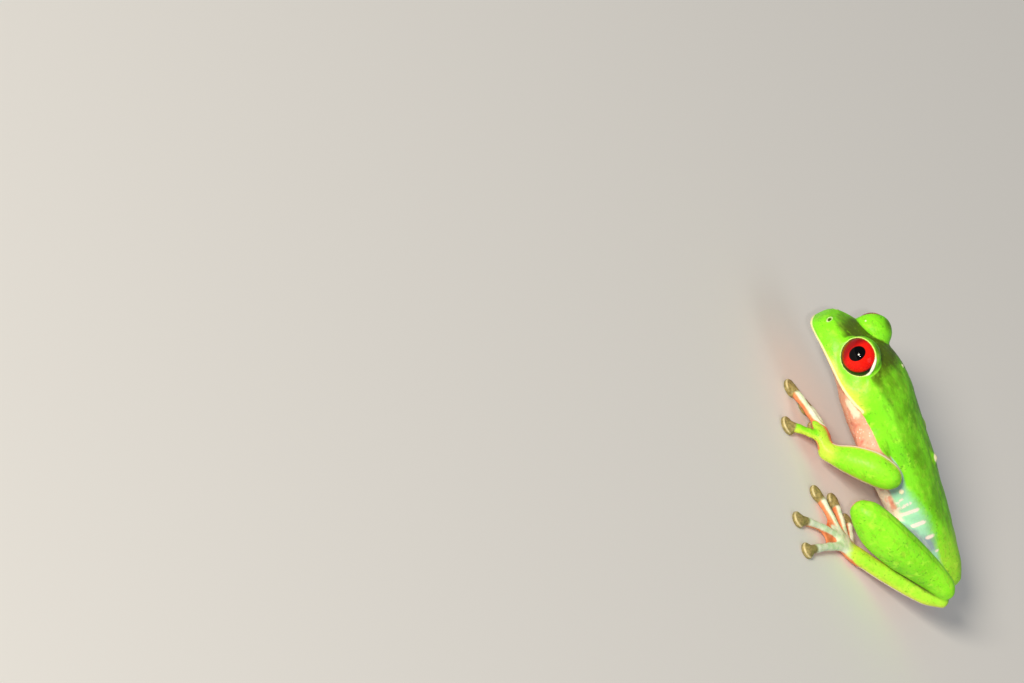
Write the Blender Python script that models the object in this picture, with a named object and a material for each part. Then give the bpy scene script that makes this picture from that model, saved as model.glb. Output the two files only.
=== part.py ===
"""Red-eyed tree frog at life size, propped on its fingers and toes.

Metres, +Z up, the floor at Z = 0. The frog looks along -Y, and its left side is at +X.
The origin is on the floor, under the middle of the model's box.
Every flesh piece is a loft: smooth rings drawn through a few stations along a line.
"""

import math

import bmesh
import bpy
from mathutils import Matrix, Vector

MM = 0.001
GAP = 0.3  # clear gap between neighbouring pieces, in millimetres

# ---------------------------------------------------------------- driving sizes, in millimetres
# Y runs from the snout tip at 0 to the rump, X from the midline to the left, Z from the floor.
# Head and trunk stations: distance behind the snout tip, half width, heights of the top, the widest level
# and the underside, and how square the section is above and below that level (2 is an ellipse)
BODY = [
    (0.00, 1.9, 12.8, 10.9, 9.8, 2.6, 1.6),
    (0.50, 3.3, 13.7, 10.9, 9.4, 2.8, 1.5),
    (1.80, 4.8, 14.8, 11.2, 9.1, 2.9, 1.4),
    (4.00, 6.2, 16.0, 11.5, 8.8, 2.8, 1.35),
    (6.50, 7.5, 17.1, 11.8, 8.6, 2.6, 1.35),
    (9.50, 8.8, 18.4, 12.0, 8.5, 2.4, 1.35),
    (13.0, 9.7, 20.0, 12.4, 8.1, 2.2, 1.5),
    (17.0, 10.0, 20.6, 12.7, 7.2, 2.1, 1.95),
    (21.0, 9.7, 20.4, 12.8, 6.6, 2.0, 2.3),
    (26.0, 9.5, 19.2, 12.4, 6.0, 2.0, 2.45),
    (31.0, 9.6, 18.1, 11.6, 5.5, 2.0, 2.4),
    (36.0, 9.4, 17.0, 10.7, 5.0, 2.0, 2.3),
    (42.0, 8.6, 15.2, 9.7, 4.4, 2.0, 2.2),
    (48.0, 7.4, 13.7, 8.8, 4.1, 2.0, 2.2),
    (53.0, 6.1, 12.4, 8.3, 4.3, 2.0, 2.2),
    (57.0, 4.6, 11.5, 8.0, 4.9, 2.0, 2.1),
    (59.8, 2.8, 10.2, 7.9, 6.0, 2.0, 2.0),
    (61.0, 1.2, 9.1, 7.9, 6.9, 2.0, 2.0),
]
NECK_Y = 18.5  # the head ends here
MOUTH_FRONT_Z = 9.9  # height of the closed mouth at the snout tip
MOUTH_RISE = 0.13  # the mouth line climbs this much for each millimetre back

# The head is held a little rolled, its left side up, and the trunk untwists behind it
ROLL = math.radians(2.5)
ROLL_AXIS_Z = 12.0
UNTWIST_FROM = 18.5
UNTWIST_TO = 44.0

EYE_RADIUS = 3.75
EYE_GAP = 0.15
EYE_CENTRE = (6.05, 9.35, 16.8)
EYE_TURN = 0.25  # the head is turned a little: the left eye is this far back, the right one this far forward
EYE_AXIS = (0.95, -0.28, 0.08)  # the left eye looks out, a little forward and up
LID_RADIUS = 4.15
LID_OPENING = 3.7  # radius of the round opening between the lids
LID_EDGE = 0.7  # how far out along the eye's axis the lids' edge lies
CONE_DEPTH = 6.0  # of the cutter that opens the lids

# Limb stations: x, y, z, half width, half height. The left heel is raised; the right leg lies folded flat.
UPPER_ARM = {
    "left": [
        (6.0, 22.5, 11.6, 2.3, 2.7),
        (8.8, 25.6, 11.3, 2.4, 2.8),
        (10.6, 28.4, 11.4, 2.2, 2.5),
        (11.8, 31.2, 12.0, 2.0, 2.2),
    ],
    "right": [
        (-6.0, 22.5, 10.8, 2.3, 2.7),
        (-9.2, 26.0, 10.2, 2.4, 2.7),
        (-11.4, 28.8, 10.1, 2.2, 2.4),
        (-13.0, 31.0, 10.4, 2.0, 2.2),
    ],
}
FOREARM = {
    "left": [
        (12.4, 32.9, 12.9, 1.9, 2.0),
        (12.5, 31.6, 12.2, 2.8, 2.9),
        (12.8, 29.0, 10.5, 3.1, 3.3),
        (13.0, 26.2, 8.0, 2.8, 2.9),
        (13.2, 24.0, 5.7, 2.1, 2.1),
        (13.2, 22.5, 4.3, 1.7, 1.7),
    ],
    "right": [
        (-13.4, 32.8, 11.5, 1.9, 2.0),
        (-13.9, 31.7, 10.8, 2.7, 2.8),
        (-15.6, 29.9, 9.2, 3.0, 3.1),
        (-17.7, 28.1, 7.0, 2.7, 2.8),
        (-19.3, 26.8, 5.2, 2.1, 2.1),
        (-20.3, 26.0, 4.3, 1.7, 1.7),
    ],
}
THIGH = {
    "left": [
        (4.0, 51.5, 7.2, 3.2, 3.1),
        (8.5, 47.8, 6.8, 3.6, 3.3),
        (13.5, 42.8, 6.6, 3.5, 3.2),
        (18.0, 38.2, 6.8, 3.0, 2.9),
        (21.3, 35.7, 7.9, 2.4, 2.4),
    ],
    "right": [
        (-4.0, 51.5, 7.7, 3.4, 3.5),
        (-7.3, 48.4, 7.2, 3.8, 3.8),
        (-10.9, 44.0, 6.7, 3.6, 3.6),
        (-14.4, 39.4, 6.2, 3.1, 3.2),
        (-17.4, 35.8, 5.8, 2.4, 2.5),
    ],
}
SHANK = {
    "left": [
        (22.8, 33.5, 8.5, 2.1, 2.4),
        (22.3, 35.6, 8.9, 3.0, 3.5),
        (21.2, 39.7, 9.2, 3.3, 4.35),
        (19.0, 45.4, 10.1, 3.2, 4.2),
        (16.3, 51.1, 11.1, 2.7, 3.4),
        (14.4, 55.9, 11.8, 2.2, 2.5),
        (13.8, 57.6, 11.7, 1.7, 1.85),
    ],
    "right": [
        (-19.8, 33.0, 5.4, 2.1, 2.3),
        (-19.4, 35.2, 5.5, 3.0, 3.2),
        (-18.2, 40.0, 5.5, 3.3, 3.7),
        (-16.5, 46.0, 5.3, 3.2, 3.7),
        (-14.6, 52.0, 5.0, 2.7, 3.1),
        (-13.2, 56.8, 4.7, 2.2, 2.3),
        (-12.6, 59.0, 4.6, 1.7, 1.8),
    ],
}
TARSUS = {
    "left": [
        (13.8, 58.9, 9.9, 1.5, 1.6),
        (15.1, 56.0, 7.7, 1.8, 1.85),
        (17.0, 51.0, 5.4, 1.8, 1.85),
        (18.9, 46.0, 3.3, 1.7, 1.7),
        (20.4, 42.0, 2.0, 1.7, 1.5),
    ],
    "right": [
        (-14.4, 59.4, 3.6, 1.5, 1.6),
        (-16.7, 56.6, 3.2, 1.8, 1.8),
        (-19.9, 52.2, 2.6, 1.8, 1.8),
        (-22.5, 48.8, 2.2, 1.7, 1.7),
        (-24.4, 45.6, 2.0, 1.7, 1.5),
    ],
}

# The hand and the foot are given once, for the left side. The right ones are mirrored, turned and moved.
HAND_ROOT = (13.2, 22.6)
HAND_RIGHT_ROOT = (-20.4, 26.0)
HAND_RIGHT_TURN = math.radians(-75)
FOOT_ROOT = (20.2, 42.6)
FOOT_RIGHT_ROOT = (-24.2, 46.1)
FOOT_RIGHT_TURN = math.radians(12)
PALM = [
    (13.2, 22.6, 4.3, 1.5, 1.4),
    (12.5, 21.0, 4.3, 2.0, 1.3),
    (11.4, 19.4, 4.3, 2.2, 1.1),
    (10.6, 18.2, 4.0, 1.8, 0.8),
]
SOLE = [
    (20.2, 42.6, 1.9, 1.6, 1.4),
    (21.0, 40.2, 1.3, 2.1, 1.3),
    (22.0, 37.2, 1.2, 2.4, 1.0),
    (22.6, 35.2, 1.1, 2.0, 0.8),
]
# Digits: where each leaves the palm or sole, its raised middle, and its disc on the floor
FINGERS = {
    1: [(10.2, 20.2, 4.1), (7.6, 19.9, 3.0), (5.4, 19.6, 0.8)],
    2: [(9.8, 18.8, 4.0), (6.6, 17.2, 2.9), (3.4, 14.8, 0.8)],
    3: [(10.2, 18.2, 4.0), (8.2, 14.2, 2.9), (5.0, 9.9, 0.8)],
    4: [(12.4, 19.4, 4.1), (13.9, 16.9, 2.9), (15.2, 13.9, 0.8)],
}
TOES = {
    1: [(19.8, 40.2, 1.3), (16.2, 38.4, 1.1), (13.4, 36.8, 0.7)],
    2: [(20.4, 38.2, 1.3), (17.0, 34.8, 1.2), (14.4, 31.6, 0.7)],
    3: [(21.4, 36.8, 1.3), (20.6, 32.0, 1.3), (19.6, 27.4, 0.7)],
    4: [(22.6, 36.6, 1.3), (27.8, 31.6, 1.3), (33.2, 27.2, 0.7)],
    5: [(23.2, 38.4, 1.3), (29.8, 35.4, 1.3), (36.8, 32.6, 0.7)],
}
FINGER_RADIUS = 1.0
TOE_RADIUS = 0.95
DISC_HALF_HEIGHT = 0.75
DISC_CENTRE_Z = 0.55  # lower than its half height, so that the floor cuts a small flat under it
FINGER_DISC = 2.0
TOE_DISC = 1.75
WEB_THICKNESS = 0.6
FINGER_WEB_REACH = 0.3  # as a share of each finger's length
TOE_WEB_REACH = 0.5

GREEN = (0.15, 0.62, 0.03)
SALMON = (0.85, 0.50, 0.38)
ORANGE = (0.85, 0.33, 0.12)
RED = (0.62, 0.02, 0.01)


# ---------------------------------------------------------------- scene and materials
def clear_scene():
    for obj in list(bpy.data.objects):
        bpy.data.objects.remove(obj)


def new_collection(name):
    made = bpy.data.collections.new(name)
    bpy.context.scene.collection.children.link(made)
    return made


def skin_material(name, colour, roughness):
    material = bpy.data.materials.new(name)
    material.use_nodes = True
    shader = material.node_tree.nodes["Principled BSDF"]
    shader.inputs["Base Color"].default_value = (*colour, 1)
    shader.inputs["Roughness"].default_value = roughness
    shader.inputs["Metallic"].default_value = 0
    return material


# ---------------------------------------------------------------- lofts
def smooth_rows(rows, steps):
    """Rows of numbers with a Catmull-Rom curve drawn through them, `steps` pieces to each span."""
    vectors = [Vector(row) for row in rows]
    ends = [2 * vectors[0] - vectors[1], *vectors, 2 * vectors[-1] - vectors[-2]]
    made = []
    for i in range(1, len(ends) - 2):
        a, b, c, d = ends[i - 1 : i + 3]
        for step in range(steps):
            t = step / steps
            made.append(
                0.5 * (2 * b + (c - a) * t + (2 * a - 5 * b + 4 * c - d) * t**2 + (3 * b - a - 3 * c + d) * t**3)
            )
    made.append(vectors[-1])
    return made


def loft(name, rings):
    """A closed mesh through rings of equal point counts, with a flat face closing each end."""
    mesh = bpy.data.meshes.new(name)
    made = bmesh.new()
    drawn = [[made.verts.new(Vector(p) * MM) for p in ring] for ring in rings]
    sides = len(rings[0])
    for first, second in zip(drawn, drawn[1:]):
        for i in range(sides):
            j = (i + 1) % sides
            made.faces.new((first[i], first[j], second[j], second[i]))
    for ring in (drawn[0], drawn[-1]):
        made.faces.new(ring)
    bmesh.ops.recalc_face_normals(made, faces=made.faces)
    made.to_mesh(mesh)
    made.free()
    return bpy.data.objects.new(name, mesh)


def signed_power(value, power):
    return math.copysign(abs(value) ** power, value)


def body_ring(row, sides, grow):
    y, half_width, top, middle, bottom, square_above, square_below = row
    ring = []
    for i in range(sides):
        angle = 2 * math.pi * i / sides
        power = 2 / (square_above if math.sin(angle) >= 0 else square_below)
        height = (top - middle if math.sin(angle) >= 0 else middle - bottom) + grow
        x = (half_width + grow) * signed_power(math.cos(angle), power)
        z = middle + height * signed_power(math.sin(angle), power)
        ring.append(rolled(Vector((x, y, z))))
    return ring


def rolled(point):
    """The point turned with the body's roll at its distance behind the snout."""
    share = min(max((point.y - UNTWIST_FROM) / (UNTWIST_TO - UNTWIST_FROM), 0), 1)
    roll = ROLL * (1 - share * share * (3 - 2 * share))
    dx, dz = point.x, point.z - ROLL_AXIS_Z
    x = dx * math.cos(roll) - dz * math.sin(roll)
    z = dx * math.sin(roll) + dz * math.cos(roll)
    return Vector((x, point.y, ROLL_AXIS_Z + z))


def body_loft(name, sides=18, steps=2, grow=0.0):
    return loft(name, [body_ring(row, sides, grow) for row in smooth_rows(BODY, steps)])


def limb_rings(stations, sides, steps, grow, cap_rings):
    """Oval rings square to the limb's line, with smaller rings rounding each end."""
    rows = smooth_rows(stations, steps)
    centres = [Vector(row[:3]) for row in rows]
    rings = []

    def ring(centre, along, half_width, half_height):
        side = along.cross(Vector((0, 0, 1))).normalized()
        up = side.cross(along).normalized()
        turns = [2 * math.pi * i / sides for i in range(sides)]
        return [centre + side * half_width * math.cos(t) + up * half_height * math.sin(t) for t in turns]

    last = len(rows) - 1
    for i, row in enumerate(rows):
        along = (centres[min(i + 1, last)] - centres[max(i - 1, 0)]).normalized()
        half_width, half_height = row[3] + grow, row[4] + grow
        before = [-share for share in reversed(cap_rings)] if i == 0 else []
        after = list(cap_rings) if i == last else []
        for share in (*before, 0, *after):
            shrink = math.sqrt(1 - share**2)
            centre = centres[i] + along * share * half_width
            rings.append(ring(centre, along, half_width * shrink, half_height * shrink))
    return rings


def limb_loft(name, stations, sides=10, steps=2, grow=0.0, cap_rings=(0.62, 0.95)):
    return loft(name, limb_rings(stations, sides, steps, grow, cap_rings))


# ---------------------------------------------------------------- small forms
def ball(name, centre, radii, segments, rings):
    mesh = bpy.data.meshes.new(name)
    made = bmesh.new()
    bmesh.ops.create_uvsphere(made, u_segments=segments, v_segments=rings, radius=1)
    place = Matrix.Translation(Vector(centre) * MM) @ Matrix.Diagonal((*[r * MM for r in radii], 1))
    bmesh.ops.transform(made, matrix=place, verts=made.verts)
    made.to_mesh(mesh)
    made.free()
    return bpy.data.objects.new(name, mesh)


def box(name, low, high):
    mesh = bpy.data.meshes.new(name)
    made = bmesh.new()
    bmesh.ops.create_cube(made, size=1)
    low, high = Vector(low) * MM, Vector(high) * MM
    place = Matrix.Translation((low + high) / 2) @ Matrix.Diagonal((*(high - low), 1))
    bmesh.ops.transform(made, matrix=place, verts=made.verts)
    made.to_mesh(mesh)
    made.free()
    return bpy.data.objects.new(name, mesh)


def lid_opening(name, side):
    """A cone that widens outwards along the eye's axis and cuts the round opening between the lids."""
    mesh = bpy.data.meshes.new(name)
    made = bmesh.new()
    bmesh.ops.create_cone(
        made,
        cap_ends=True,
        segments=12,
        radius1=LID_OPENING * MM,
        radius2=(LID_OPENING + CONE_DEPTH) * MM,
        depth=CONE_DEPTH * MM,
    )
    axis = Vector((side * EYE_AXIS[0], EYE_AXIS[1], EYE_AXIS[2])).normalized()
    axis = Matrix.Rotation(-ROLL, 3, "Y") @ axis
    turn = axis.to_track_quat("Z", "Y").to_matrix().to_4x4()
    place = Matrix.Translation((eye_centre(side) + axis * (LID_EDGE + CONE_DEPTH / 2)) * MM) @ turn
    bmesh.ops.transform(made, matrix=place, verts=made.verts)
    made.to_mesh(mesh)
    made.free()
    return bpy.data.objects.new(name, mesh)


def along_digit(points, share):
    """The point at a share of a digit's curved line through its root, middle and tip."""
    root, middle, tip = (Vector(point) for point in points)
    pull = 2 * middle - (root + tip) / 2
    return (1 - share) ** 2 * root + 2 * share * (1 - share) * pull + share**2 * tip


def digit_loft(name, points, radius):
    rows = []
    for i in range(4):
        thick = radius * (1.08 - 0.22 * math.sin(math.pi * i / 3))
        rows.append((*along_digit(points, i / 3), thick, thick * 0.92))
    return limb_loft(name, rows, sides=6, steps=1, cap_rings=(0.8,))


def web(name, digits, reach):
    """One thin web across all digits of a limb, from their roots to a share of their length."""
    mesh = bpy.data.meshes.new(name)
    sheet = bmesh.new()
    rows = []
    for share in (0.1, 0.4, 0.7, 1.0):
        ends = [along_digit(points, share * reach) for points in digits.values()]
        rows.append([sheet.verts.new((end - Vector((0, 0, WEB_THICKNESS / 2))) * MM) for end in ends])
    for first, second in zip(rows, rows[1:]):
        for i in range(len(first) - 1):
            sheet.faces.new((first[i], first[i + 1], second[i + 1], second[i]))
    bmesh.ops.triangulate(sheet, faces=sheet.faces)
    bmesh.ops.solidify(sheet, geom=sheet.faces, thickness=WEB_THICKNESS * MM)
    bmesh.ops.recalc_face_normals(sheet, faces=sheet.faces)
    sheet.to_mesh(mesh)
    sheet.free()
    return bpy.data.objects.new(name, mesh)


# ---------------------------------------------------------------- joining and cutting
class Workshop:
    """Holds the collections and does the joining and cutting of pieces."""

    def __init__(self):
        self.parts = new_collection("red_eyed_tree_frog")
        self.cutters = new_collection("cutters")

    def helper(self, obj):
        self.cutters.objects.link(obj)
        obj.hide_render = True
        obj.display_type = "WIRE"
        return obj

    def piece(self, obj, material):
        self.parts.objects.link(obj)
        obj.data.materials.append(material)
        obj.data.shade_smooth()
        return obj

    def boolean(self, obj, other, operation):
        modifier = obj.modifiers.new(f"{operation.lower()}_{other.name}", "BOOLEAN")
        modifier.operation = operation
        modifier.object = other
        modifier.solver = "EXACT"

    def join(self, obj, *others):
        for other in others:
            self.boolean(obj, self.helper(other), "UNION")

    def cut(self, obj, *others):
        for other in others:
            if other.name not in self.cutters.objects:
                self.helper(other)
            self.boolean(obj, other, "DIFFERENCE")


# ---------------------------------------------------------------- the frog
def eye_centre(side):
    return rolled(Vector((side * EYE_CENTRE[0], EYE_CENTRE[1] + side * EYE_TURN, EYE_CENTRE[2])))


def mouth_slab(name, from_z, to_z, lift):
    """A slab between two levels that are measured from the mouth's sloping, rolled plane."""
    made = box(name, (-20, -10, from_z), (20, 40, to_z))
    for vertex in made.data.vertices:
        x, y, z = vertex.co / MM
        z += MOUTH_FRONT_Z + MOUTH_RISE * y + lift - ROLL_AXIS_Z
        vertex.co = Matrix.Rotation(-ROLL, 3, "Y") @ Vector((x, y, z)) * MM
        vertex.co.z += ROLL_AXIS_Z * MM
    return made


def build_head(shop, green, salmon, red):
    half = GAP / 2
    head = shop.piece(body_loft("head"), green)
    behind_neck = box("behind_neck", (-30, NECK_Y - half, -10), (30, 80, 40))
    for side, word in ((1, "left"), (-1, "right")):
        centre = eye_centre(side)
        shop.join(head, ball(f"lids_{word}", centre, (LID_RADIUS,) * 3, 15, 9))
    shop.cut(head, behind_neck, mouth_slab("below_upper_lip", -30, 0, half))
    for side, word in ((1, "left"), (-1, "right")):
        centre = eye_centre(side)
        shop.cut(head, ball(f"socket_{word}", centre, (EYE_RADIUS + EYE_GAP,) * 3, 15, 9))
        shop.cut(head, lid_opening(f"opening_{word}", side))
        shop.piece(ball(f"eye_{word}", centre, (EYE_RADIUS,) * 3, 15, 10), red)

    jaw = shop.piece(body_loft("lower_jaw"), salmon)
    shop.cut(jaw, behind_neck, mouth_slab("above_lower_lip", 0, 30, -half))


def build_trunk(shop, green):
    trunk = shop.piece(body_loft("trunk"), green)
    before = box("before_neck", (-30, -20, -10), (30, NECK_Y + GAP / 2, 40))
    shop.cut(trunk, before)


def joined_digits(shop, name, palm, digits, radius, disc, reach):
    """A palm or sole with its digits, discs and web, joined to one mesh for the left side."""
    whole = shop.helper(limb_loft(name, palm, sides=9, steps=1))
    for number, points in digits.items():
        tip = along_digit(points, 1)
        shop.join(
            whole,
            digit_loft(f"{name}_digit_{number}", points, radius),
            ball(f"{name}_disc_{number}", (tip.x, tip.y, DISC_CENTRE_Z), (disc, disc, DISC_HALF_HEIGHT), 8, 5),
        )
    shop.join(whole, web(f"{name}_web", digits, reach))
    graph = bpy.context.evaluated_depsgraph_get()
    return bpy.data.meshes.new_from_object(whole.evaluated_get(graph))


def placed(mesh, name, word, root, right_root, right_turn):
    """The left side's mesh as it is, or mirrored, turned about its root and moved for the right side."""
    mesh = mesh.copy()
    if word == "right":
        home = Matrix.Translation(Vector((-root[0], -root[1], 0)) * MM)
        mirror = Matrix.Diagonal((-1, 1, 1, 1))
        away = Matrix.Translation(Vector((*right_root, 0)) * MM)
        mesh.transform(away @ Matrix.Rotation(right_turn, 4, "Z") @ mirror @ home)
        mesh.flip_normals()
    return bpy.data.objects.new(f"{name}_{word}", mesh)


def build_arm(shop, word, hand_mesh, green, salmon, orange, floor):
    body = body_loft(f"body_by_arm_{word}", grow=GAP)
    forearm_grown = limb_loft(f"forearm_grown_{word}", FOREARM[word], grow=GAP)
    upper = shop.piece(limb_loft(f"upper_arm_{word}", UPPER_ARM[word]), salmon)
    shop.cut(upper, body, forearm_grown)
    forearm = shop.piece(limb_loft(f"forearm_{word}", FOREARM[word]), green)
    shop.cut(forearm, body)
    hand = placed(hand_mesh, "hand", word, HAND_ROOT, HAND_RIGHT_ROOT, HAND_RIGHT_TURN)
    shop.piece(hand, orange)
    shop.cut(hand, forearm_grown, floor)


def build_leg(shop, word, foot_mesh, green, orange, floor):
    body = body_loft(f"body_by_leg_{word}", grow=GAP)
    shank_grown = limb_loft(f"shank_grown_{word}", SHANK[word], grow=GAP)
    tarsus_grown = limb_loft(f"tarsus_grown_{word}", TARSUS[word], grow=GAP)
    thigh = shop.piece(limb_loft(f"thigh_{word}", THIGH[word]), orange)
    shop.cut(thigh, body, shank_grown, tarsus_grown)
    shank = shop.piece(limb_loft(f"shank_{word}", SHANK[word]), green)
    shop.cut(shank, body)
    tarsus = shop.piece(limb_loft(f"tarsus_{word}", TARSUS[word]), green)
    shop.cut(tarsus, shank_grown)
    foot = placed(foot_mesh, "foot", word, FOOT_ROOT, FOOT_RIGHT_ROOT, FOOT_RIGHT_TURN)
    shop.piece(foot, orange)
    shop.cut(foot, tarsus_grown, floor)


def centre_on_floor(shop):
    """Moves everything so that the origin is under the middle of the model's box."""
    bpy.context.view_layer.update()
    graph = bpy.context.evaluated_depsgraph_get()
    corners = []
    for obj in shop.parts.objects:
        seen = obj.evaluated_get(graph)
        corners += [vertex.co.copy() for vertex in seen.data.vertices]
    shift = Vector((0, 0, 0))
    for axis in (0, 1):
        values = [corner[axis] for corner in corners]
        shift[axis] = -(min(values) + max(values)) / 2
    for obj in bpy.data.objects:
        obj.data.transform(Matrix.Translation(shift))


def build():
    clear_scene()
    shop = Workshop()
    green = skin_material("green_skin", GREEN, 0.4)
    salmon = skin_material("throat_skin", SALMON, 0.45)
    orange = skin_material("orange_skin", ORANGE, 0.45)
    red = skin_material("red_eye", RED, 0.08)
    build_head(shop, green, salmon, red)
    build_trunk(shop, green)
    hand = joined_digits(shop, "whole_hand", PALM, FINGERS, FINGER_RADIUS, FINGER_DISC, FINGER_WEB_REACH)
    foot = joined_digits(shop, "whole_foot", SOLE, TOES, TOE_RADIUS, TOE_DISC, TOE_WEB_REACH)
    for word in ("left", "right"):
        floor = box(f"below_floor_{word}", (-90, -60, -30), (90, 120, 0))
        build_arm(shop, word, hand, green, salmon, orange, floor)
        build_leg(shop, word, foot, green, orange, floor)
    centre_on_floor(shop)


build()
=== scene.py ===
"""Looks of the red-eyed tree frog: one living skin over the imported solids, glossy eyes, studio and camera."""

import math

import bpy
import numpy as np
from mathutils import Matrix, Vector


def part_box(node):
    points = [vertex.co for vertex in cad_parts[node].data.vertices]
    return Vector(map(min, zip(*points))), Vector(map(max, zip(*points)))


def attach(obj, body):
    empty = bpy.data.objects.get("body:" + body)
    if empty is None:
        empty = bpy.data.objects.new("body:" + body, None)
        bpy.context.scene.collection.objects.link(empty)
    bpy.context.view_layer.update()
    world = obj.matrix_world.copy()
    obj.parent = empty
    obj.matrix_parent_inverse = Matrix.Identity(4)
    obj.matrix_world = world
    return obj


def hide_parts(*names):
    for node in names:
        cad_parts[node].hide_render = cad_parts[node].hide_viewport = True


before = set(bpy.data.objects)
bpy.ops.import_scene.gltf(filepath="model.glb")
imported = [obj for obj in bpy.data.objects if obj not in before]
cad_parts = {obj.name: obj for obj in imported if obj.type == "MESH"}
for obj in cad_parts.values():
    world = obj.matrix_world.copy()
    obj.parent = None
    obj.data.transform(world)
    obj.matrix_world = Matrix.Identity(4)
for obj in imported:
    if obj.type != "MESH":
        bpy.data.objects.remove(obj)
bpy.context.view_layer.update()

MM = 0.001

# ------------------------------------------------------------------ sizes of the animal, in millimetres
# X to the frog's left, Y from the snout tip to the rump, Z up from the floor, as in the solids.
# Head and trunk: Y, half width, heights of top, widest level and underside, squareness above and below
BODY = [
    (0.00, 1.9, 12.8, 10.9, 9.8, 2.6, 1.6),
    (0.50, 3.3, 13.7, 10.9, 9.4, 2.8, 1.5),
    (1.80, 4.8, 14.8, 11.2, 9.1, 2.9, 1.4),
    (4.00, 6.2, 16.0, 11.5, 8.8, 2.8, 1.35),
    (6.50, 7.5, 17.1, 11.8, 8.6, 2.6, 1.35),
    (9.50, 8.8, 18.4, 12.0, 8.5, 2.4, 1.35),
    (13.0, 9.7, 20.0, 12.4, 8.1, 2.2, 1.5),
    (17.0, 10.0, 20.6, 12.7, 7.2, 2.1, 1.95),
    (21.0, 9.7, 20.4, 12.8, 6.6, 2.0, 2.3),
    (26.0, 9.5, 19.2, 12.4, 6.0, 2.0, 2.45),
    (31.0, 9.6, 18.1, 11.6, 5.5, 2.0, 2.4),
    (36.0, 9.4, 17.0, 10.7, 5.0, 2.0, 2.3),
    (42.0, 8.6, 15.2, 9.7, 4.4, 2.0, 2.2),
    (48.0, 7.4, 13.7, 8.8, 4.1, 2.0, 2.2),
    (53.0, 6.1, 12.4, 8.3, 4.3, 2.0, 2.2),
    (57.0, 4.6, 11.5, 8.0, 4.9, 2.0, 2.1),
    (59.8, 2.8, 10.2, 7.9, 6.0, 2.0, 2.0),
    (61.0, 1.2, 9.1, 7.9, 6.9, 2.0, 2.0),
]
ROLL = math.radians(2.5)  # the head's left side is up, and the trunk untwists behind it
ROLL_AXIS_Z = 12.0
UNTWIST = (18.5, 44.0)

EYE_RADIUS = 3.75
EYE_CENTRE = (6.05, 9.35, 16.8)
EYE_TURN = 0.25  # the head is turned a little: the left eye is this far back, the right one this far forward
LID_AXIS = (0.95, -0.28, 0.08)  # from the left eye's centre out through the middle of its opening
LID_RADIUS = 4.02
LID_OPENING = (80.0, 66.0)  # degrees from the axis to the lids' edge: to front and back, and up and down
LID_THICKNESS = 0.12
REAR_LID_TURN = 32.0  # the lid is thickest here: degrees above the eye's rear corner
REAR_LID_SPREAD = 34.0  # and it thins out over this many degrees to each side
REAR_LID_REACH = 11.0  # there it also comes this many degrees further over the eyeball
REAR_LID_EXTRA = 0.24
GAZE = (0.845, -0.44, 0.255)  # the left eye's, before the head's roll
PUPIL = (1.36, 1.68)  # half width and half height
PUPIL_LEAN = 14.0  # its top leans toward the snout, in degrees
IRIS_TILT = 63.0  # the iris reaches this many degrees from the middle of the gaze
CORNEA_BULGE = 0.14
CORNEA_SPREAD = 0.75  # the bulge dies away over this angle from the gaze, in radians
EYE_RINGS = 80
EYE_SPOKES = 120

LIMB_NAMES = ("upper_arm", "forearm", "thigh", "shank", "tarsus")
# Stations of each limb: X, Y, Z, half width and half height
UPPER_ARM = {
    "left": [
        (6.0, 22.5, 11.6, 2.3, 2.7),
        (8.8, 25.6, 11.3, 2.4, 2.8),
        (10.6, 28.4, 11.4, 2.2, 2.5),
        (11.8, 31.2, 12.0, 2.0, 2.2),
    ],
    "right": [
        (-6.0, 22.5, 10.8, 2.3, 2.7),
        (-9.2, 26.0, 10.2, 2.4, 2.7),
        (-11.4, 28.8, 10.1, 2.2, 2.4),
        (-13.0, 31.0, 10.4, 2.0, 2.2),
    ],
}
FOREARM = {
    "left": [
        (12.4, 32.9, 12.9, 1.9, 2.0),
        (12.5, 31.6, 12.2, 2.8, 2.9),
        (12.8, 29.0, 10.5, 3.1, 3.3),
        (13.0, 26.2, 8.0, 2.8, 2.9),
        (13.2, 24.0, 5.7, 2.1, 2.1),
        (13.2, 22.5, 4.3, 1.7, 1.7),
    ],
    "right": [
        (-13.4, 32.8, 11.5, 1.9, 2.0),
        (-13.9, 31.7, 10.8, 2.7, 2.8),
        (-15.6, 29.9, 9.2, 3.0, 3.1),
        (-17.7, 28.1, 7.0, 2.7, 2.8),
        (-19.3, 26.8, 5.2, 2.1, 2.1),
        (-20.3, 26.0, 4.3, 1.7, 1.7),
    ],
}
THIGH = {
    "left": [
        (4.0, 51.5, 7.2, 3.2, 3.1),
        (8.5, 47.8, 6.8, 3.6, 3.3),
        (13.5, 42.8, 6.6, 3.5, 3.2),
        (18.0, 38.2, 6.8, 3.0, 2.9),
        (21.3, 35.7, 7.9, 2.4, 2.4),
    ],
    "right": [
        (-4.0, 51.5, 7.7, 3.4, 3.5),
        (-7.3, 48.4, 7.2, 3.8, 3.8),
        (-10.9, 44.0, 6.7, 3.6, 3.6),
        (-14.4, 39.4, 6.2, 3.1, 3.2),
        (-17.4, 35.8, 5.8, 2.4, 2.5),
    ],
}
SHANK = {
    "left": [
        (22.8, 33.5, 8.5, 2.1, 2.4),
        (22.3, 35.6, 8.9, 3.0, 3.5),
        (21.2, 39.7, 9.2, 3.3, 4.35),
        (19.0, 45.4, 10.1, 3.2, 4.2),
        (16.3, 51.1, 11.1, 2.7, 3.4),
        (14.4, 55.9, 11.8, 2.2, 2.5),
        (13.8, 57.6, 11.7, 1.7, 1.85),
    ],
    "right": [
        (-19.8, 33.0, 5.4, 2.1, 2.3),
        (-19.4, 35.2, 5.5, 3.0, 3.2),
        (-18.2, 40.0, 5.5, 3.3, 3.7),
        (-16.5, 46.0, 5.3, 3.2, 3.7),
        (-14.6, 52.0, 5.0, 2.7, 3.1),
        (-13.2, 56.8, 4.7, 2.2, 2.3),
        (-12.6, 59.0, 4.6, 1.7, 1.8),
    ],
}
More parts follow.
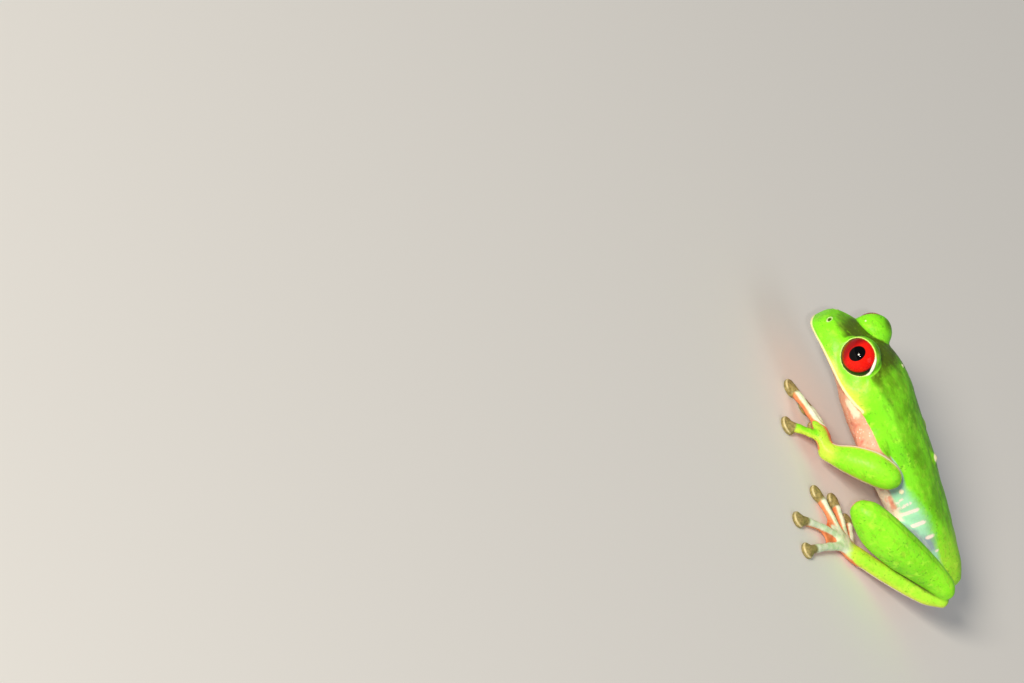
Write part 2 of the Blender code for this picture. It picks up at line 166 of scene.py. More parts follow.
TARSUS = {
    "left": [
        (13.8, 58.9, 9.9, 1.5, 1.6),
        (15.1, 56.0, 7.7, 1.8, 1.85),
        (17.0, 51.0, 5.4, 1.8, 1.85),
        (18.9, 46.0, 3.3, 1.7, 1.7),
        (20.4, 42.0, 2.0, 1.7, 1.5),
    ],
    "right": [
        (-14.4, 59.4, 3.6, 1.5, 1.6),
        (-16.7, 56.6, 3.2, 1.8, 1.8),
        (-19.9, 52.2, 2.6, 1.8, 1.8),
        (-22.5, 48.8, 2.2, 1.7, 1.7),
        (-24.4, 45.6, 2.0, 1.7, 1.5),
    ],
}
PALM = [
    (13.2, 22.6, 4.3, 1.5, 1.4),
    (12.5, 21.0, 4.3, 2.0, 1.3),
    (11.4, 19.4, 4.3, 2.2, 1.1),
    (10.6, 18.2, 4.0, 1.8, 0.8),
]
SOLE = [
    (20.2, 42.6, 1.9, 1.6, 1.4),
    (21.0, 40.2, 1.3, 2.1, 1.3),
    (22.0, 37.2, 1.2, 2.4, 1.0),
    (22.6, 35.2, 1.1, 2.0, 0.8),
]
# Digits of the left side: root, raised middle, and the disc on the floor
FINGERS = [
    [(10.2, 20.2, 4.1), (7.6, 19.9, 3.0), (5.4, 19.6, 0.8)],
    [(9.8, 18.8, 4.0), (6.6, 17.2, 2.9), (3.4, 14.8, 0.8)],
    [(10.2, 18.2, 4.0), (8.2, 14.2, 2.9), (5.0, 9.9, 0.8)],
    [(12.4, 19.4, 4.1), (13.9, 16.9, 2.9), (15.2, 13.9, 0.8)],
]
TOES = [
    [(19.8, 40.2, 1.3), (16.2, 38.4, 1.1), (13.4, 36.8, 0.7)],
    [(20.4, 38.2, 1.3), (17.0, 34.8, 1.2), (14.4, 31.6, 0.7)],
    [(21.4, 36.8, 1.3), (20.6, 32.0, 1.3), (19.6, 27.4, 0.7)],
    [(22.6, 36.6, 1.3), (27.8, 31.6, 1.3), (33.2, 27.2, 0.7)],
    [(23.2, 38.4, 1.3), (29.8, 35.4, 1.3), (36.8, 32.6, 0.7)],
]
# The right hand and foot: mirrored about the root, turned, and moved to a root of their own
HAND_MOVE = ((13.2, 22.6), (-20.4, 26.0), math.radians(-75))
FOOT_MOVE = ((20.2, 42.6), (-24.2, 46.1), math.radians(12))
FINGER_RADIUS = 0.97
TOE_RADIUS = 0.92
DIGIT_STATIONS = 13
KNUCKLES = [(0.4, 0.07, 0.12), (0.74, 0.06, 0.1)]  # share along a digit, its spread, and its height
FINGER_DISC = 1.96
TOE_DISC = 1.71
DISC_CENTRE_Z = 0.55
DISC_HALF_HEIGHT = 0.72
DISC_SQUARENESS = 2.6
FINGER_WEB_REACH = 0.3  # a web fills this share of its two digits
TOE_WEB_REACH = 0.5
WEB_HALF_THICKNESS = 0.2
WEB_BARS = 18
WEB_DROP = (0.2, 0.3)  # how far a web hangs below its digits' middles, at its ends and halfway
WEB_BACK = 0.72  # halfway between the digits its edge lies back at this share of its reach

FAR = 3.0  # distances are only worked out this near to a surface
FINE_STEP = (0.22, 0.155, 0.17)  # grid spacing at the head, in X, Y and Z
COARSE_STEP = (0.36, 0.4, 0.27)  # and away from it
MOST_TRIANGLES = 192000
# How softly each part runs into what it grows from
LID_BLEND = 0.9
DIGIT_BLEND = 0.7
WEB_BLEND = 0.25
DISC_BLEND = 0.45
LIMB_BLEND = {"upper_arm": 1.3, "forearm": 0.3, "thigh": 2.2, "shank": 0.2}
PAW_BLEND = {"hand": (0.9, 0.25), "foot": (0.8, 0.12)}  # palm or sole to its limb, and all of it to the rest
JOINT_FILL = {"elbow": 1.2, "knee": 1.6, "heel": 0.9}  # this much softer at a joint
FLOOR_BLEND = 0.06
HEAD_BOX = ((-12, -1.5, 8), (12, 20, 22))  # the lids are worked out in here

# ------------------------------------------------------------------ studio and camera, in millimetres
FLOOR_REACH = 4000.0
ROOM_BRIGHTNESS = 0.24
# Lamps: name, azimuth and elevation, then distance and width in metres, watts and colour
LAMPS = [
    ("key", 61, 20, 2.5, 0.5, 62, "#FFF6E6"),
    ("fill", 150, 50, 2.5, 1.2, 5, "#FFFFFF"),
    ("small_flash", 77, 24.5, 2.2, 0.05, 8, "#FFFFFF"),
]
LENS = 400
SENSOR_WIDTH = 36
CAMERA_AZIMUTH = 76.4
CAMERA_ELEVATION = 24.0
CAMERA_ROLL = 65.7
CAMERA_AIM = (10.8, -23.0, -43.5)  # a point on the line of sight; the frog sits right of it and below
CAMERA_DISTANCE = 2222
CAMERA_SEES = (0.01, 20)  # nearest and farthest, in metres


# ------------------------------------------------------------------ numbers and curves
def unit(vectors):
    return vectors / np.linalg.norm(vectors, axis=-1, keepdims=True)


def smooth_step(low, high, value):
    share = np.clip((value - low) / (high - low), 0, 1)
    return share * share * (3 - 2 * share)


def smooth_min(a, b, blend):
    share = np.clip(0.5 + 0.5 * (b - a) / blend, 0, 1)
    return b + (a - b) * share - blend * share * (1 - share)


def smooth_max(a, b, blend):
    return -smooth_min(-a, -b, blend)


def bell(distance, width):
    return np.exp(-((distance / width) ** 2))


def smooth_rows(rows, steps):
    """Rows of numbers with a Catmull-Rom curve drawn through them, `steps` pieces to each span."""
    rows = np.array(rows, float)
    ends = np.vstack([2 * rows[0] - rows[1], rows, 2 * rows[-1] - rows[-2]])
    t = (np.arange(steps) / steps)[:, None]
    made = []
    for a, b, c, d in zip(ends, ends[1:], ends[2:], ends[3:]):
        bend = (2 * a - 5 * b + 4 * c - d) * t**2 + (3 * b - a - 3 * c + d) * t**3
        made.append(0.5 * (2 * b + (c - a) * t + bend))
    return np.vstack([*made, rows[-1:]])


# ------------------------------------------------------------------ head and trunk
BODY_CURVE = smooth_rows(BODY, 30)
BODY_END = BODY[-1][0]


def roll_at(y):
    return ROLL * (1 - smooth_step(*UNTWIST, y))


def level(x, y, z):
    """Where a point lies across and up in the body's own, unrolled section."""
    roll = roll_at(y)
    dz = z - ROLL_AXIS_Z
    across = x * np.cos(roll) + dz * np.sin(roll)
    return across, ROLL_AXIS_Z - x * np.sin(roll) + dz * np.cos(roll)


def body_distance(x, y, z):
    half, top, middle, bottom, above, below = (np.interp(y, BODY_CURVE[:, 0], c) for c in BODY_CURVE.T[1:])
    across, height = level(x, y, z)
    height = height - middle
    upper = height >= 0
    reach = np.where(upper, top - middle, middle - bottom)
    power = np.where(upper, above, below)
    rim = ((np.abs(across) / half) ** power + (np.abs(height) / reach) ** power) ** (1 / power)
    size = np.hypot(across, height) + 1e-4
    section = size - size / np.maximum(rim, 1e-4)
    return smooth_max(smooth_max(section, -y, 0.75), y - BODY_END, 1.0)


def rolled(way):
    """A direction in the head, leant over with the head's roll."""
    return np.array(Matrix.Rotation(-ROLL, 3, "Y") @ Vector(way).normalized())


def eye_centre(side):
    """Centre of an eye; side is 1 for the left and -1 for the right."""
    across, up = side * EYE_CENTRE[0], EYE_CENTRE[2] - ROLL_AXIS_Z
    x = across * math.cos(ROLL) - up * math.sin(ROLL)
    z = across * math.sin(ROLL) + up * math.cos(ROLL)
    return np.array((x, EYE_CENTRE[1] + side * EYE_TURN, ROLL_AXIS_Z + z))


def eye_frame(axis):
    """Directions square to an eye's axis: one toward the tail and one toward the crown."""
    up = unit(np.array((0.0, 0.0, 1.0)) - axis[2] * axis)
    rear = np.cross(up, axis)
    return rear * np.sign(rear[1]), up


def lid_measures(points, side):
    """Distance from the eye's centre, distance round from the lids' edge, and the thick rear lid's share."""
    axis = rolled((side * LID_AXIS[0], LID_AXIS[1], LID_AXIS[2]))
    rear, up = eye_frame(axis)
    offset = points - eye_centre(side)
    away = np.linalg.norm(offset, axis=-1) + 1e-6
    tilt = np.degrees(np.arccos(np.clip(offset @ axis / away, -1, 1)))
    turn = np.arctan2(offset @ up, offset @ rear)
    thick = bell(np.degrees(turn) - REAR_LID_TURN, REAR_LID_SPREAD)
    edge = 1 / np.hypot(np.cos(turn) / LID_OPENING[0], np.sin(turn) / LID_OPENING[1])
    edge = edge - REAR_LID_REACH * thick
    return away, (tilt - edge) * math.pi / 180 * EYE_RADIUS, thick


def lid_margin(away, past_edge, thick):
    """Distance to the rounded rim of the lids, thicker and paler at the rear."""
    middle = np.hypot(past_edge - 0.08, away - EYE_RADIUS - 0.1 - 0.06 * thick)
    return middle - LID_THICKNESS - REAR_LID_EXTRA * thick


def add_lids(field, points):
    """A dome of lid over each eye, opened round the eyeball, with a soft rounded margin."""
    for side in (1, -1):
        away, past_edge, thick = lid_measures(points, side)
        field = smooth_min(field, away - LID_RADIUS, LID_BLEND)
        opening = smooth_max(past_edge, EYE_RADIUS - 0.4 - away, 0.1)
        field = smooth_max(field, -opening, 0.1 + 0.4 * smooth_step(4.1, 5.0, away))
        field = smooth_min(field, lid_margin(away, past_edge, thick), 0.1)
    return field


# ------------------------------------------------------------------ limbs
class Limb:
    """A curved line with an oval section that changes along it."""

    def __init__(self, rows, steps=6):
        rows = smooth_rows(rows, steps)
        self.centre = rows[:, :3]
        self.half = rows[:, 3:5]
        self.along = unit(np.gradient(self.centre, axis=0))
        self.side = unit(np.cross(self.along, (0, 0, 1)))
        self.up = np.cross(self.side, self.along)
        run = np.linalg.norm(np.diff(self.centre, axis=0), axis=1).cumsum()
        self.share = np.concatenate([[0], run]) / run[-1]

    def span(self, points, i):
        """Distance, share along the line, and place across and up, measured from the line's span i."""
        start, run = self.centre[i], self.centre[i + 1] - self.centre[i]
        t = np.clip((points - start) @ run / (run @ run), 0, 1)[:, None]

        def mix(values):
            return values[i] * (1 - t) + values[i + 1] * t

        offset = points - start - t * run
        half = mix(self.half)
        across = (offset * mix(self.side)).sum(1) / half[:, 0]
        up = (offset * mix(self.up)).sum(1) / half[:, 1]
        beyond = (offset * mix(self.along)).sum(1) / half[:, 0]
        size = np.sqrt((offset**2).sum(1)) + 1e-5
        rim = np.sqrt(across**2 + up**2 + beyond**2) + 1e-5
        share = self.share[i] + (self.share[i + 1] - self.share[i]) * t[:, 0]
        return size - size / rim, share, across, up

    def measure(self, points):
        """The nearest span's distance, share along, and place across and up, for each point."""
        best = None
        for i in range(len(self.centre) - 1):
            found = np.array(self.span(points, i))
            best = found if best is None else np.where(found[0] < best[0], found, best)
        return best


def digit_point(points, share):
    root, middle, tip = (np.array(point) for point in points)
    pull = 2 * middle - (root + tip) / 2
    share = np.reshape(share, (-1, 1))
    return (1 - share) ** 2 * root + 2 * share * (1 - share) * pull + share**2 * tip


def moved(points, move):
    """Points of a left hand or foot. A move mirrors, turns and shifts them to the right one's place."""
    points = np.array(points, float)
    if move is None:
        return points
    (x0, y0), (x1, y1), turn = move
    dx, dy = x0 - points[:, 0], points[:, 1] - y0
    points[:, 0] = x1 + dx * math.cos(turn) - dy * math.sin(turn)
    points[:, 1] = y1 + dx * math.sin(turn) + dy * math.cos(turn)
    return points


class Paw:
    """A hand or a foot: palm or sole, digits with knuckles, discs and webs."""

    def __init__(self, word, base, digits, radius, disc, web_reach, move):
        move = None if word == "left" else move
        base = np.array(base)
        base[:, :3] = moved(base[:, :3], move)
        self.base = Limb(base)
        self.lines = [lambda share, d=digit: moved(digit_point(d, share), move) for digit in digits]
        self.digits = [self.digit(line, radius) for line in self.lines]
        self.tips = [line([1.0])[0] for line in self.lines]
        self.disc = disc
        self.webs = self.web_bars(web_reach)

    def digit(self, line, radius):
        share = np.linspace(0, 1, DIGIT_STATIONS)
        thick = radius * (1.06 - 0.2 * np.sin(math.pi * share))
        thick = thick + sum(height * bell(share - place, spread) for place, spread, height in KNUCKLES)
        rows = np.column_stack([line(share), thick, thick * 0.94])
        return Limb(rows, steps=1)

    def web_bars(self, reach):
        """Thin bars from digit to digit, set so close that they make one hanging membrane."""
        bars = []
        thin = (WEB_HALF_THICKNESS, WEB_HALF_THICKNESS)
        for first, second in zip(self.lines, self.lines[1:]):
            for share in np.linspace(0.06, 1, WEB_BARS):
                a, b = first([share * reach])[0], second([share * reach])[0]
                back = (first([share * reach * WEB_BACK])[0] + second([share * reach * WEB_BACK])[0]) / 2
                a[2] -= WEB_DROP[0]
                b[2] -= WEB_DROP[0]
                back[2] -= WEB_DROP[1]
                bars.append([(*a, *thin), (*back, *thin), (*b, *thin)])
        return [Limb(rows, steps=2) for rows in bars]


def disc_distance(points, tip, radius):
    """A round toe pad, a thick cushion with a flattened top."""
    offset = points - np.array((tip[0], tip[1], DISC_CENTRE_Z))
    scaled = offset / np.array((radius, radius, DISC_HALF_HEIGHT))
    power = DISC_SQUARENESS
    across, up = np.hypot(scaled[:, 0], scaled[:, 1]), np.abs(scaled[:, 2])
    rim = (across**power + up**power) ** (1 / power) + 1e-5
    size = np.sqrt((offset**2).sum(1)) + 1e-5
    return size - size / rim


# ------------------------------------------------------------------ the field on a grid
def ticks(low, high, step_at):
    """Grid lines from low to high, with a spacing that may change on the way."""
    made = [low]
    while made[-1] < high:
        made.append(made[-1] + step_at(made[-1]))
    return np.array(made)


def between(near, far, step_near, step_far):
    return lambda value: step_near + (step_far - step_near) * float(smooth_step(near, far, value))


def inside_block(part, block):
    """Where a part of the grid lies in the values of a block that holds it."""
    return tuple(slice(p.start - b.start, p.stop - b.start) for p, b in zip(part, block))


class Grid:
    """Samples of the distance to the skin, finer at the head than elsewhere."""

    def __init__(self):
        steps = list(zip(FINE_STEP, COARSE_STEP))
        self.x = ticks(-42.0, 40.5, lambda x: between(10.5, 14, *steps[0])(abs(x)))
        self.y = ticks(-1.5, 62.5, between(14.5, 21, *steps[1]))
        self.z = ticks(-0.5, 22.0, between(7.5, 9.5, *reversed(steps[2])))
        x, y, z = self.x[:, None, None], self.y[None, :, None], self.z[None, None, :]
        self.field = body_distance(x, y, z).astype(np.float32)

    def block(self, low, high):
        """Slices of the grid that cover a box."""
        made = []
        for lines, a, b in zip((self.x, self.y, self.z), low, high):
            last = min(np.searchsorted(lines, b) + 1, len(lines))
            made.append(slice(max(np.searchsorted(lines, a) - 1, 0), last))
        return tuple(made)

    def points(self, block):
        lines = np.meshgrid(self.x[block[0]], self.y[block[1]], self.z[block[2]], indexing="ij")
        return np.stack(lines, -1)

    def limb(self, limb):
        """The limb's own distances, as a block and its values, FAR where they aren't worked out."""
        reach = limb.half.max() + FAR
        block = self.block(limb.centre.min(0) - reach, limb.centre.max(0) + reach)
        values = np.full([s.stop - s.start for s in block], FAR, np.float32)
        for i in range(len(limb.centre) - 1):
            ends = limb.centre[i : i + 2]
            reach = limb.half[i : i + 2].max() + FAR * 0.8
            part = self.block(ends.min(0) - reach, ends.max(0) + reach)
            points = self.points(part)
            found = limb.span(points.reshape(-1, 3), i)[0].reshape(points.shape[:3])
            local = inside_block(part, block)
            values[local] = np.minimum(values[local], found)
        return block, values

    def join(self, block, values, blend, joint=None, soften=0.0, reach=3.5):
        """Adds a shape to the field. At a joint the crease between the two fills in softly."""
        if joint is not None:
            away = np.linalg.norm(self.points(block) - joint, axis=-1)
            blend = blend + soften * bell(away, reach)
        self.field[block] = smooth_min(self.field[block], values, blend)


def joined(grid, parts):
    """Limbs blended into each other before they meet the body: [(limb, blend), ...]."""
    lows = [limb.centre.min(0) - limb.half.max() - FAR for limb, _ in parts]
    highs = [limb.centre.max(0) + limb.half.max() + FAR for limb, _ in parts]
    block = grid.block(np.min(lows, 0), np.max(highs, 0))
    values = np.full([s.stop - s.start for s in block], FAR, np.float32)
    for limb, blend in parts:
        part, found = grid.limb(limb)
        local = inside_block(part, block)
        values[local] = smooth_min(values[local], found, blend)
    return block, values


def paw_values(grid, paw, lead, lead_blend):
    """A hand or foot with the limb that leads to it, its discs and its webs."""
    parts = [(lead, 0.01), (paw.base, lead_blend)]
    parts += [(digit, DIGIT_BLEND) for digit in paw.digits]
    parts += [(bar, WEB_BLEND) for bar in paw.webs]
    block, values = joined(grid, parts)
    for tip in paw.tips:
        part = grid.block(tip - paw.disc - 1.5, tip + paw.disc + 1.5)
        points = grid.points(part)
        found = disc_distance(points.reshape(-1, 3), tip, paw.disc).reshape(points.shape[:3])
        local = inside_block(part, block)
        values[local] = smooth_min(values[local], found, DISC_BLEND)
    return block, values


def build_field(limbs, paws):
    grid = Grid()
    head = grid.block(*HEAD_BOX)
    grid.field[head] = add_lids(grid.field[head], grid.points(head))
    for word in ("left", "right"):
        upper, forearm, thigh, shank, tarsus = (limbs[name, word] for name in LIMB_NAMES)
        elbow, knee, heel = (limb.centre[-1] for limb in (upper, thigh, shank))
        wrist_blend, hand_blend = PAW_BLEND["hand"]
        ankle_blend, foot_blend = PAW_BLEND["foot"]
        hand = paw_values(grid, paws["hand", word], forearm, wrist_blend)
        foot = paw_values(grid, paws["foot", word], tarsus, ankle_blend)
        grid.join(*grid.limb(upper), LIMB_BLEND["upper_arm"])
        grid.join(*grid.limb(forearm), LIMB_BLEND["forearm"], elbow, JOINT_FILL["elbow"])
        grid.join(*hand, hand_blend)
        grid.join(*grid.limb(thigh), LIMB_BLEND["thigh"])
        grid.join(*grid.limb(shank), LIMB_BLEND["shank"], knee, JOINT_FILL["knee"])
        grid.join(*foot, foot_blend, heel, JOINT_FILL["heel"], reach=2.0)
    grid.field = smooth_max(grid.field, -grid.z[None, None, :].astype(np.float32), FLOOR_BLEND)
    return grid


def surface_of(grid):
    """A closed quad mesh along the field's zero level: one vertex in each cell that the surface crosses."""
    field, lines = grid.field, (grid.x, grid.y, grid.z)
    inside = field < 0
    count = np.zeros([n - 1 for n in field.shape], np.int8)
    corners = [(i, j, k) for i in (0, 1) for j in (0, 1) for k in (0, 1)]
    for i, j, k in corners:
        count += inside[i : i + count.shape[0], j : j + count.shape[1], k : k + count.shape[2]]
    cells = np.argwhere((count > 0) & (count < 8))
    number = np.full(count.shape, -1, np.int32)
    number[tuple(cells.T)] = np.arange(len(cells))
    total, hits = np.zeros((len(cells), 3)), np.zeros(len(cells))
    for axis in range(3):
        step = np.eye(3, dtype=int)[axis]
        for corner in (c for c in corners if c[axis] == 0):
            a = cells + corner
            b = a + step
            fa, fb = field[tuple(a.T)].astype(float), field[tuple(b.T)].astype(float)
            cross = (fa < 0) != (fb < 0)
            t = np.where(cross, fa / np.where(cross, fa - fb, 1), 0)
            place = np.stack([line[a[:, n]] for n, line in enumerate(lines)], 1)
            place[:, axis] += t * (lines[axis][b[:, axis]] - lines[axis][a[:, axis]])
            total += np.where(cross[:, None], place, 0)
            hits += cross
    quads = []
    for axis in range(3):
        low = tuple(slice(0, -1) if n == axis else slice(1, -1) for n in range(3))
        high = tuple(slice(1, None) if n == axis else slice(1, -1) for n in range(3))
        first, second = inside[low], inside[high]
        edges = np.argwhere(first != second) + [0 if n == axis else 1 for n in range(3)]
        u, v = np.eye(3, dtype=int)[(axis + 1) % 3], np.eye(3, dtype=int)[(axis + 2) % 3]
        ring = [number[tuple((edges - offset).T)] for offset in (u + v, v, 0 * u, u)]
        faces = np.stack(ring, 1)
        outward = inside[tuple(edges.T)]
        faces[~outward] = faces[~outward][:, ::-1]
        quads.append(faces)
    return total / hits[:, None], np.vstack(quads)


def mesh_from(name, points, faces):
    mesh = bpy.data.meshes.new(name)
    mesh.from_pydata((points * MM).tolist(), [], faces.tolist())
    mesh.polygons.foreach_set("use_smooth", [True] * len(faces))
    mesh.update()
    return mesh


def thinned(points, faces, most):
    """The same surface with fewer triangles where it is nearly flat."""
    draft = bpy.data.objects.new("draft", mesh_from("draft", points, faces))
    bpy.context.scene.collection.objects.link(draft)
    modifier = draft.modifiers.new("thin", "DECIMATE")
    modifier.ratio = most / (2 * len(faces))
    solved = bpy.data.meshes.new_from_object(draft.evaluated_get(bpy.context.evaluated_depsgraph_get()))
    bpy.data.objects.remove(draft)
    return solved


def read(rows, what):
    """Three numbers for each row of a mesh's vertices or normals."""
    values = np.zeros(len(rows) * 3)
    rows.foreach_get(what, values)
    return values.reshape(-1, 3)


def store(mesh, name, values):
    mesh.attributes.new(name, "FLOAT", "POINT").data.foreach_set("value", np.asarray(values, np.float32))


# ------------------------------------------------------------------ fine relief
def hashed(cells, seed):
    """A repeatable number from 0 to 1 for each whole-number cell."""
    n = (cells[..., 0] * 73856093) ^ (cells[..., 1] * 19349663) ^ (cells[..., 2] * 83492791) ^ (seed * 40503)
    n = (n ^ (n >> 13)) * 1274126177
    return ((n ^ (n >> 16)) & 0xFFFFF) / 0xFFFFF


def noise(points, size, seed=0):
    """Smooth noise from -1 to 1 with lumps about `size` millimetres apart."""
    place = points / size
    base = np.floor(place).astype(np.int64)
    t = place - base
    t = t * t * (3 - 2 * t)
    total = 0
    for corner in np.ndindex(2, 2, 2):
        weight = np.prod(np.where(corner, t, 1 - t), axis=-1)
        total = total + weight * hashed(base + corner, seed)
    return 2 * total - 1


def pebbles(points, size, seed=0):
    """Rounded grains packed together: 1 in the middle of a grain and 0 between grains."""
    place = points / size
    base = np.floor(place).astype(np.int64)
    nearest = np.full(len(points), 9.0)
    second = nearest.copy()
    for offset in np.ndindex(3, 3, 3):
        cell = base + offset - 1
        jitter = np.stack([hashed(cell, seed + n) for n in (1, 2, 3)], 1)
        away = np.linalg.norm(place - cell - 0.1 - 0.8 * jitter, axis=1)
        second = np.minimum(second, np.maximum(nearest, away))
        nearest = np.minimum(nearest, away)
    return np.clip(1.3 * (second - nearest), 0, 1)


def line_distance(points, line):
    """Distance from each point to a line of straight pieces, all in millimetres."""
    line = np.array(line, float)
    best = np.full(len(points), 99.0)
    for a, b in zip(line, line[1:]):
        t = np.clip((points - a) @ (b - a) / ((b - a) @ (b - a)), 0, 1)[:, None]
        best = np.minimum(best, np.linalg.norm(points - a - t * (b - a), axis=1))
    return best


# The mouth line and, behind its corner, the lower edge of the green back: Y and height in the section
MOUTH = [(0, 9.6), (0.9, 9.65), (4.1, 10.6), (7.9, 11.1), (12, 11.2), (14.4, 11.5), (17, 12.1), (19.3, 12.8)]
GREEN_EDGE = MOUTH + [
    (21.4, 12.7),
    (24.0, 12.8),
    (26.5, 13.0),
    (29.0, 13.5),
    (31.6, 13.8),
    (34.0, 13.7),
    (36.6, 12.8),
    (40.9, 12.8),
    (44.2, 12.6),
    (47.1, 12.0),
    (50.7, 11.1),
    (54.7, 9.9),
    (58.0, 8.6),
    (61.0, 7.6),
]
# The back is olive where it faces upward by more than this, partly its own colour and partly painted shade: Y
# and the upward share of the skin's direction
OLIVE_AND_SHADE_LIMIT = [
    (0, 0.9),
    (3, 0.84),
    (8, 0.72),
    (12, 0.7),
    (17, 0.78),
    (24, 0.79),
    (34, 0.86),
    (44, 0.92),
    (50, 1.02),
    (61, 1.2),
]
BELLY_EDGE = [(30, 9.8), (36, 9.6), (41, 9.3), (48, 8.2), (55, 7.4), (61, 7.2)]
MOUTH_CORNER_Y = 19.3
NOSTRIL = (2.55, 1.6, 13.45)
NOSTRIL_SLIT = (-0.72, -0.25, 0.52)
CANTHUS = [(2.4, 0.8, 14.5), (3.9, 3.6, 15.6), (4.9, 5.6, 16.6)]  # the ridge from the nostril to the eye
EAR = (9.75, 15.6, 13.9)
EAR_RADIUS = 1.35
EAR_FOLD = [(8.3, 12.9, 16.6), (9.1, 15.0, 16.0), (9.9, 17.6, 14.8), (10.0, 19.6, 13.4), (9.8, 21.2, 12.6)]
VENT = (0.0, 60.7, 8.7)
HIP_X = 3.4
# Flank bars: foot and head of each, in Y and height, and half width
BARS = [
    (38.6, 9.7, 38.4, 11.3, 0.2),
    (39.9, 9.4, 39.9, 12.0, 0.28),
    (41.3, 9.4, 41.9, 12.3, 0.35),
    (44.1, 8.8, 44.9, 11.9, 0.38),
    (47.2, 8.4, 48.4, 11.6, 0.33),
    (50.6, 8.2, 51.6, 10.9, 0.24),
]
# Raised cream spots: middle and radius
SPOTS = [
    ((-2.1, 16.9, 20.4), 0.42),
    ((-1.6, 36.0, 17.0), 0.9),
    ((-3.95, 5.9, 17.6), 0.17),
    ((9.1, 37.0, 11.8), 0.5),
]
THROAT_PATCH = [(9.3, 16.3, 11.0), (9.6, 18.6, 11.4)]
# Heights and depths of the fine relief
LIP_HEIGHT = 0.3
MOUTH_DEPTH = 0.36
CHIN_STEP = 0.16
NOSTRIL_HALF_SIZE = (0.58, 0.27)
NOSTRIL_RIM = 0.1
NOSTRIL_DEPTH = 0.34
CANTHUS_HEIGHT = 0.16
EAR_RELIEF = 0.012
EAR_FOLD_HEIGHT = 0.05
SPOT_HEIGHT = 0.8  # as a share of the spot's radius
VENT_RIM = 0.12
VENT_DEPTH = 0.45
FLANK_FOLD_HEIGHT = 0.06
FLANK_FOLD_SPACING = 3.1
SPINE_DEPTH = 0.07
HIP_HEIGHT = 0.1
GRAIN_HEIGHT = 0.1
GRAIN_SIZE = 0.8
SMOOTH_SKIN_GRAIN_HEIGHT = 0.022
SMOOTH_SKIN_GRAIN_SIZE = 0.6


def both_sides(points, measure):
    """The smaller of a measure on the left side and its mirror on the right side."""
    return np.minimum(measure(points), measure(points * (-1, 1, 1)))


def across_and_level(points):
    across, height = level(*points.T)
    return np.column_stack([across, points[:, 1], height])


def spots_near(points):
    """For each raised cream spot, every point's distance from its middle on the skin, and its radius."""
    for centre, radius in SPOTS:
        middle = points[np.argmin(np.linalg.norm(points - centre, axis=1))]
        yield np.linalg.norm(points - middle, axis=1), radius


def nostril_shape(place):
    """Distance to the nostril slit as if it were round, with the slit's outline at 1."""
    offset = place - place[np.argmin(np.linalg.norm(place - NOSTRIL, axis=1))]
    along = unit(np.array(NOSTRIL_SLIT))
    run = offset @ along
    side = np.sqrt(np.maximum((offset**2).sum(1) - run**2, 0))
    return np.hypot(run / NOSTRIL_HALF_SIZE[0], side / NOSTRIL_HALF_SIZE[1])


def head_relief(points):
    """Mouth, nostrils, snout ridge, ear disc and the fold over it, as heights over the plain head."""
    place = across_and_level(points)
    y = place[:, 1]
    above = place[:, 2] - np.interp(y, *np.array(MOUTH).T)
    mouth = 1 - smooth_step(MOUTH_CORNER_Y - 0.5, MOUTH_CORNER_Y + 0.6, y)
    height = mouth * (LIP_HEIGHT * bell(above - 0.36, 0.36) - MOUTH_DEPTH * bell(above + 0.02, 0.16))
    height -= mouth * CHIN_STEP * smooth_step(-0.02, -0.3, above) * smooth_step(-3.2, -1.0, above)
    nostril = both_sides(place, nostril_shape)
    height += NOSTRIL_RIM * bell(nostril - 1.7, 0.5) - NOSTRIL_DEPTH * bell(nostril, 0.85)
    ridge = both_sides(place, lambda p: line_distance(p, CANTHUS))
    height += CANTHUS_HEIGHT * bell(ridge, 0.5)
    ear = both_sides(place, lambda p: np.linalg.norm(p - EAR, axis=1))
    height += EAR_RELIEF * bell(ear - EAR_RADIUS, 0.35)
    height -= EAR_RELIEF * smooth_step(EAR_RADIUS, EAR_RADIUS - 0.6, ear)
    fold = both_sides(place, lambda p: line_distance(p, EAR_FOLD))
    height += EAR_FOLD_HEIGHT * bell(fold, 1.0)
    return height


def body_relief(points, normals):
    """Spots, vent, flank folds and the spine's faint furrow."""
    place = across_and_level(points)
    x, y, z = place.T
    height = np.zeros(len(points))
    for away, radius in spots_near(points):
        height += SPOT_HEIGHT * radius * bell(away, radius * 1.1)
    vent = np.linalg.norm((points - VENT) * (1.4, 1, 1), axis=1)
    height += VENT_RIM * bell(vent - 1.0, 0.4) - VENT_DEPTH * bell(vent, 0.5)
    side = smooth_step(0.3, 0.8, np.abs(normals[:, 0]))
    folds = np.sin(2 * math.pi * (y - 0.45 * z) / FLANK_FOLD_SPACING + noise(points, 6.0, 3))
    flank = smooth_step(35, 39, y) * smooth_step(54, 50, y) * smooth_step(13.5, 12, z)
    height += side * FLANK_FOLD_HEIGHT * folds * flank
    spine = smooth_step(24, 30, y) * smooth_step(58, 52, y) * smooth_step(12, 14, z)
    height -= SPINE_DEPTH * bell(x, 0.7) * spine
    hips = np.minimum(np.abs(x - HIP_X), np.abs(x + HIP_X))
    height += HIP_HEIGHT * bell(hips, 0.9) * bell(y - 44, 6.0) * smooth_step(11, 13, z)
    return height


# ------------------------------------------------------------------ colour zones
# back is olive with painted shade on upward-facing skin; the last zone is painted shade in folds and hollows,
# with the shank's brown line
ZONES = ("green", "yellow", "orange", "mint", "pale", "bar", "disc", "rim")
ZONES += ("lip", "lid", "rear_lid", "spot", "grain", "back", "crease")
COLOUR_BLEND = 0.12  # where two parts meet, their colours mix over about this distance
FOLD_SHADE_WIDTH = 0.31  # how far the painted shade of a fold reaches up its two sides
OPEN_JOINTS = [("upper_arm", 3.2), ("shank", 2.6), ("tarsus", 2.2)]  # no painted fold shade this near the limb's end
INSIDE = 3.0  # a zone's value where it surely lies
OUTSIDE = -3.0  # and where it surely doesn't
ZONE_BAND = (-1.0, 1.0)  # a zone's colour comes in between these


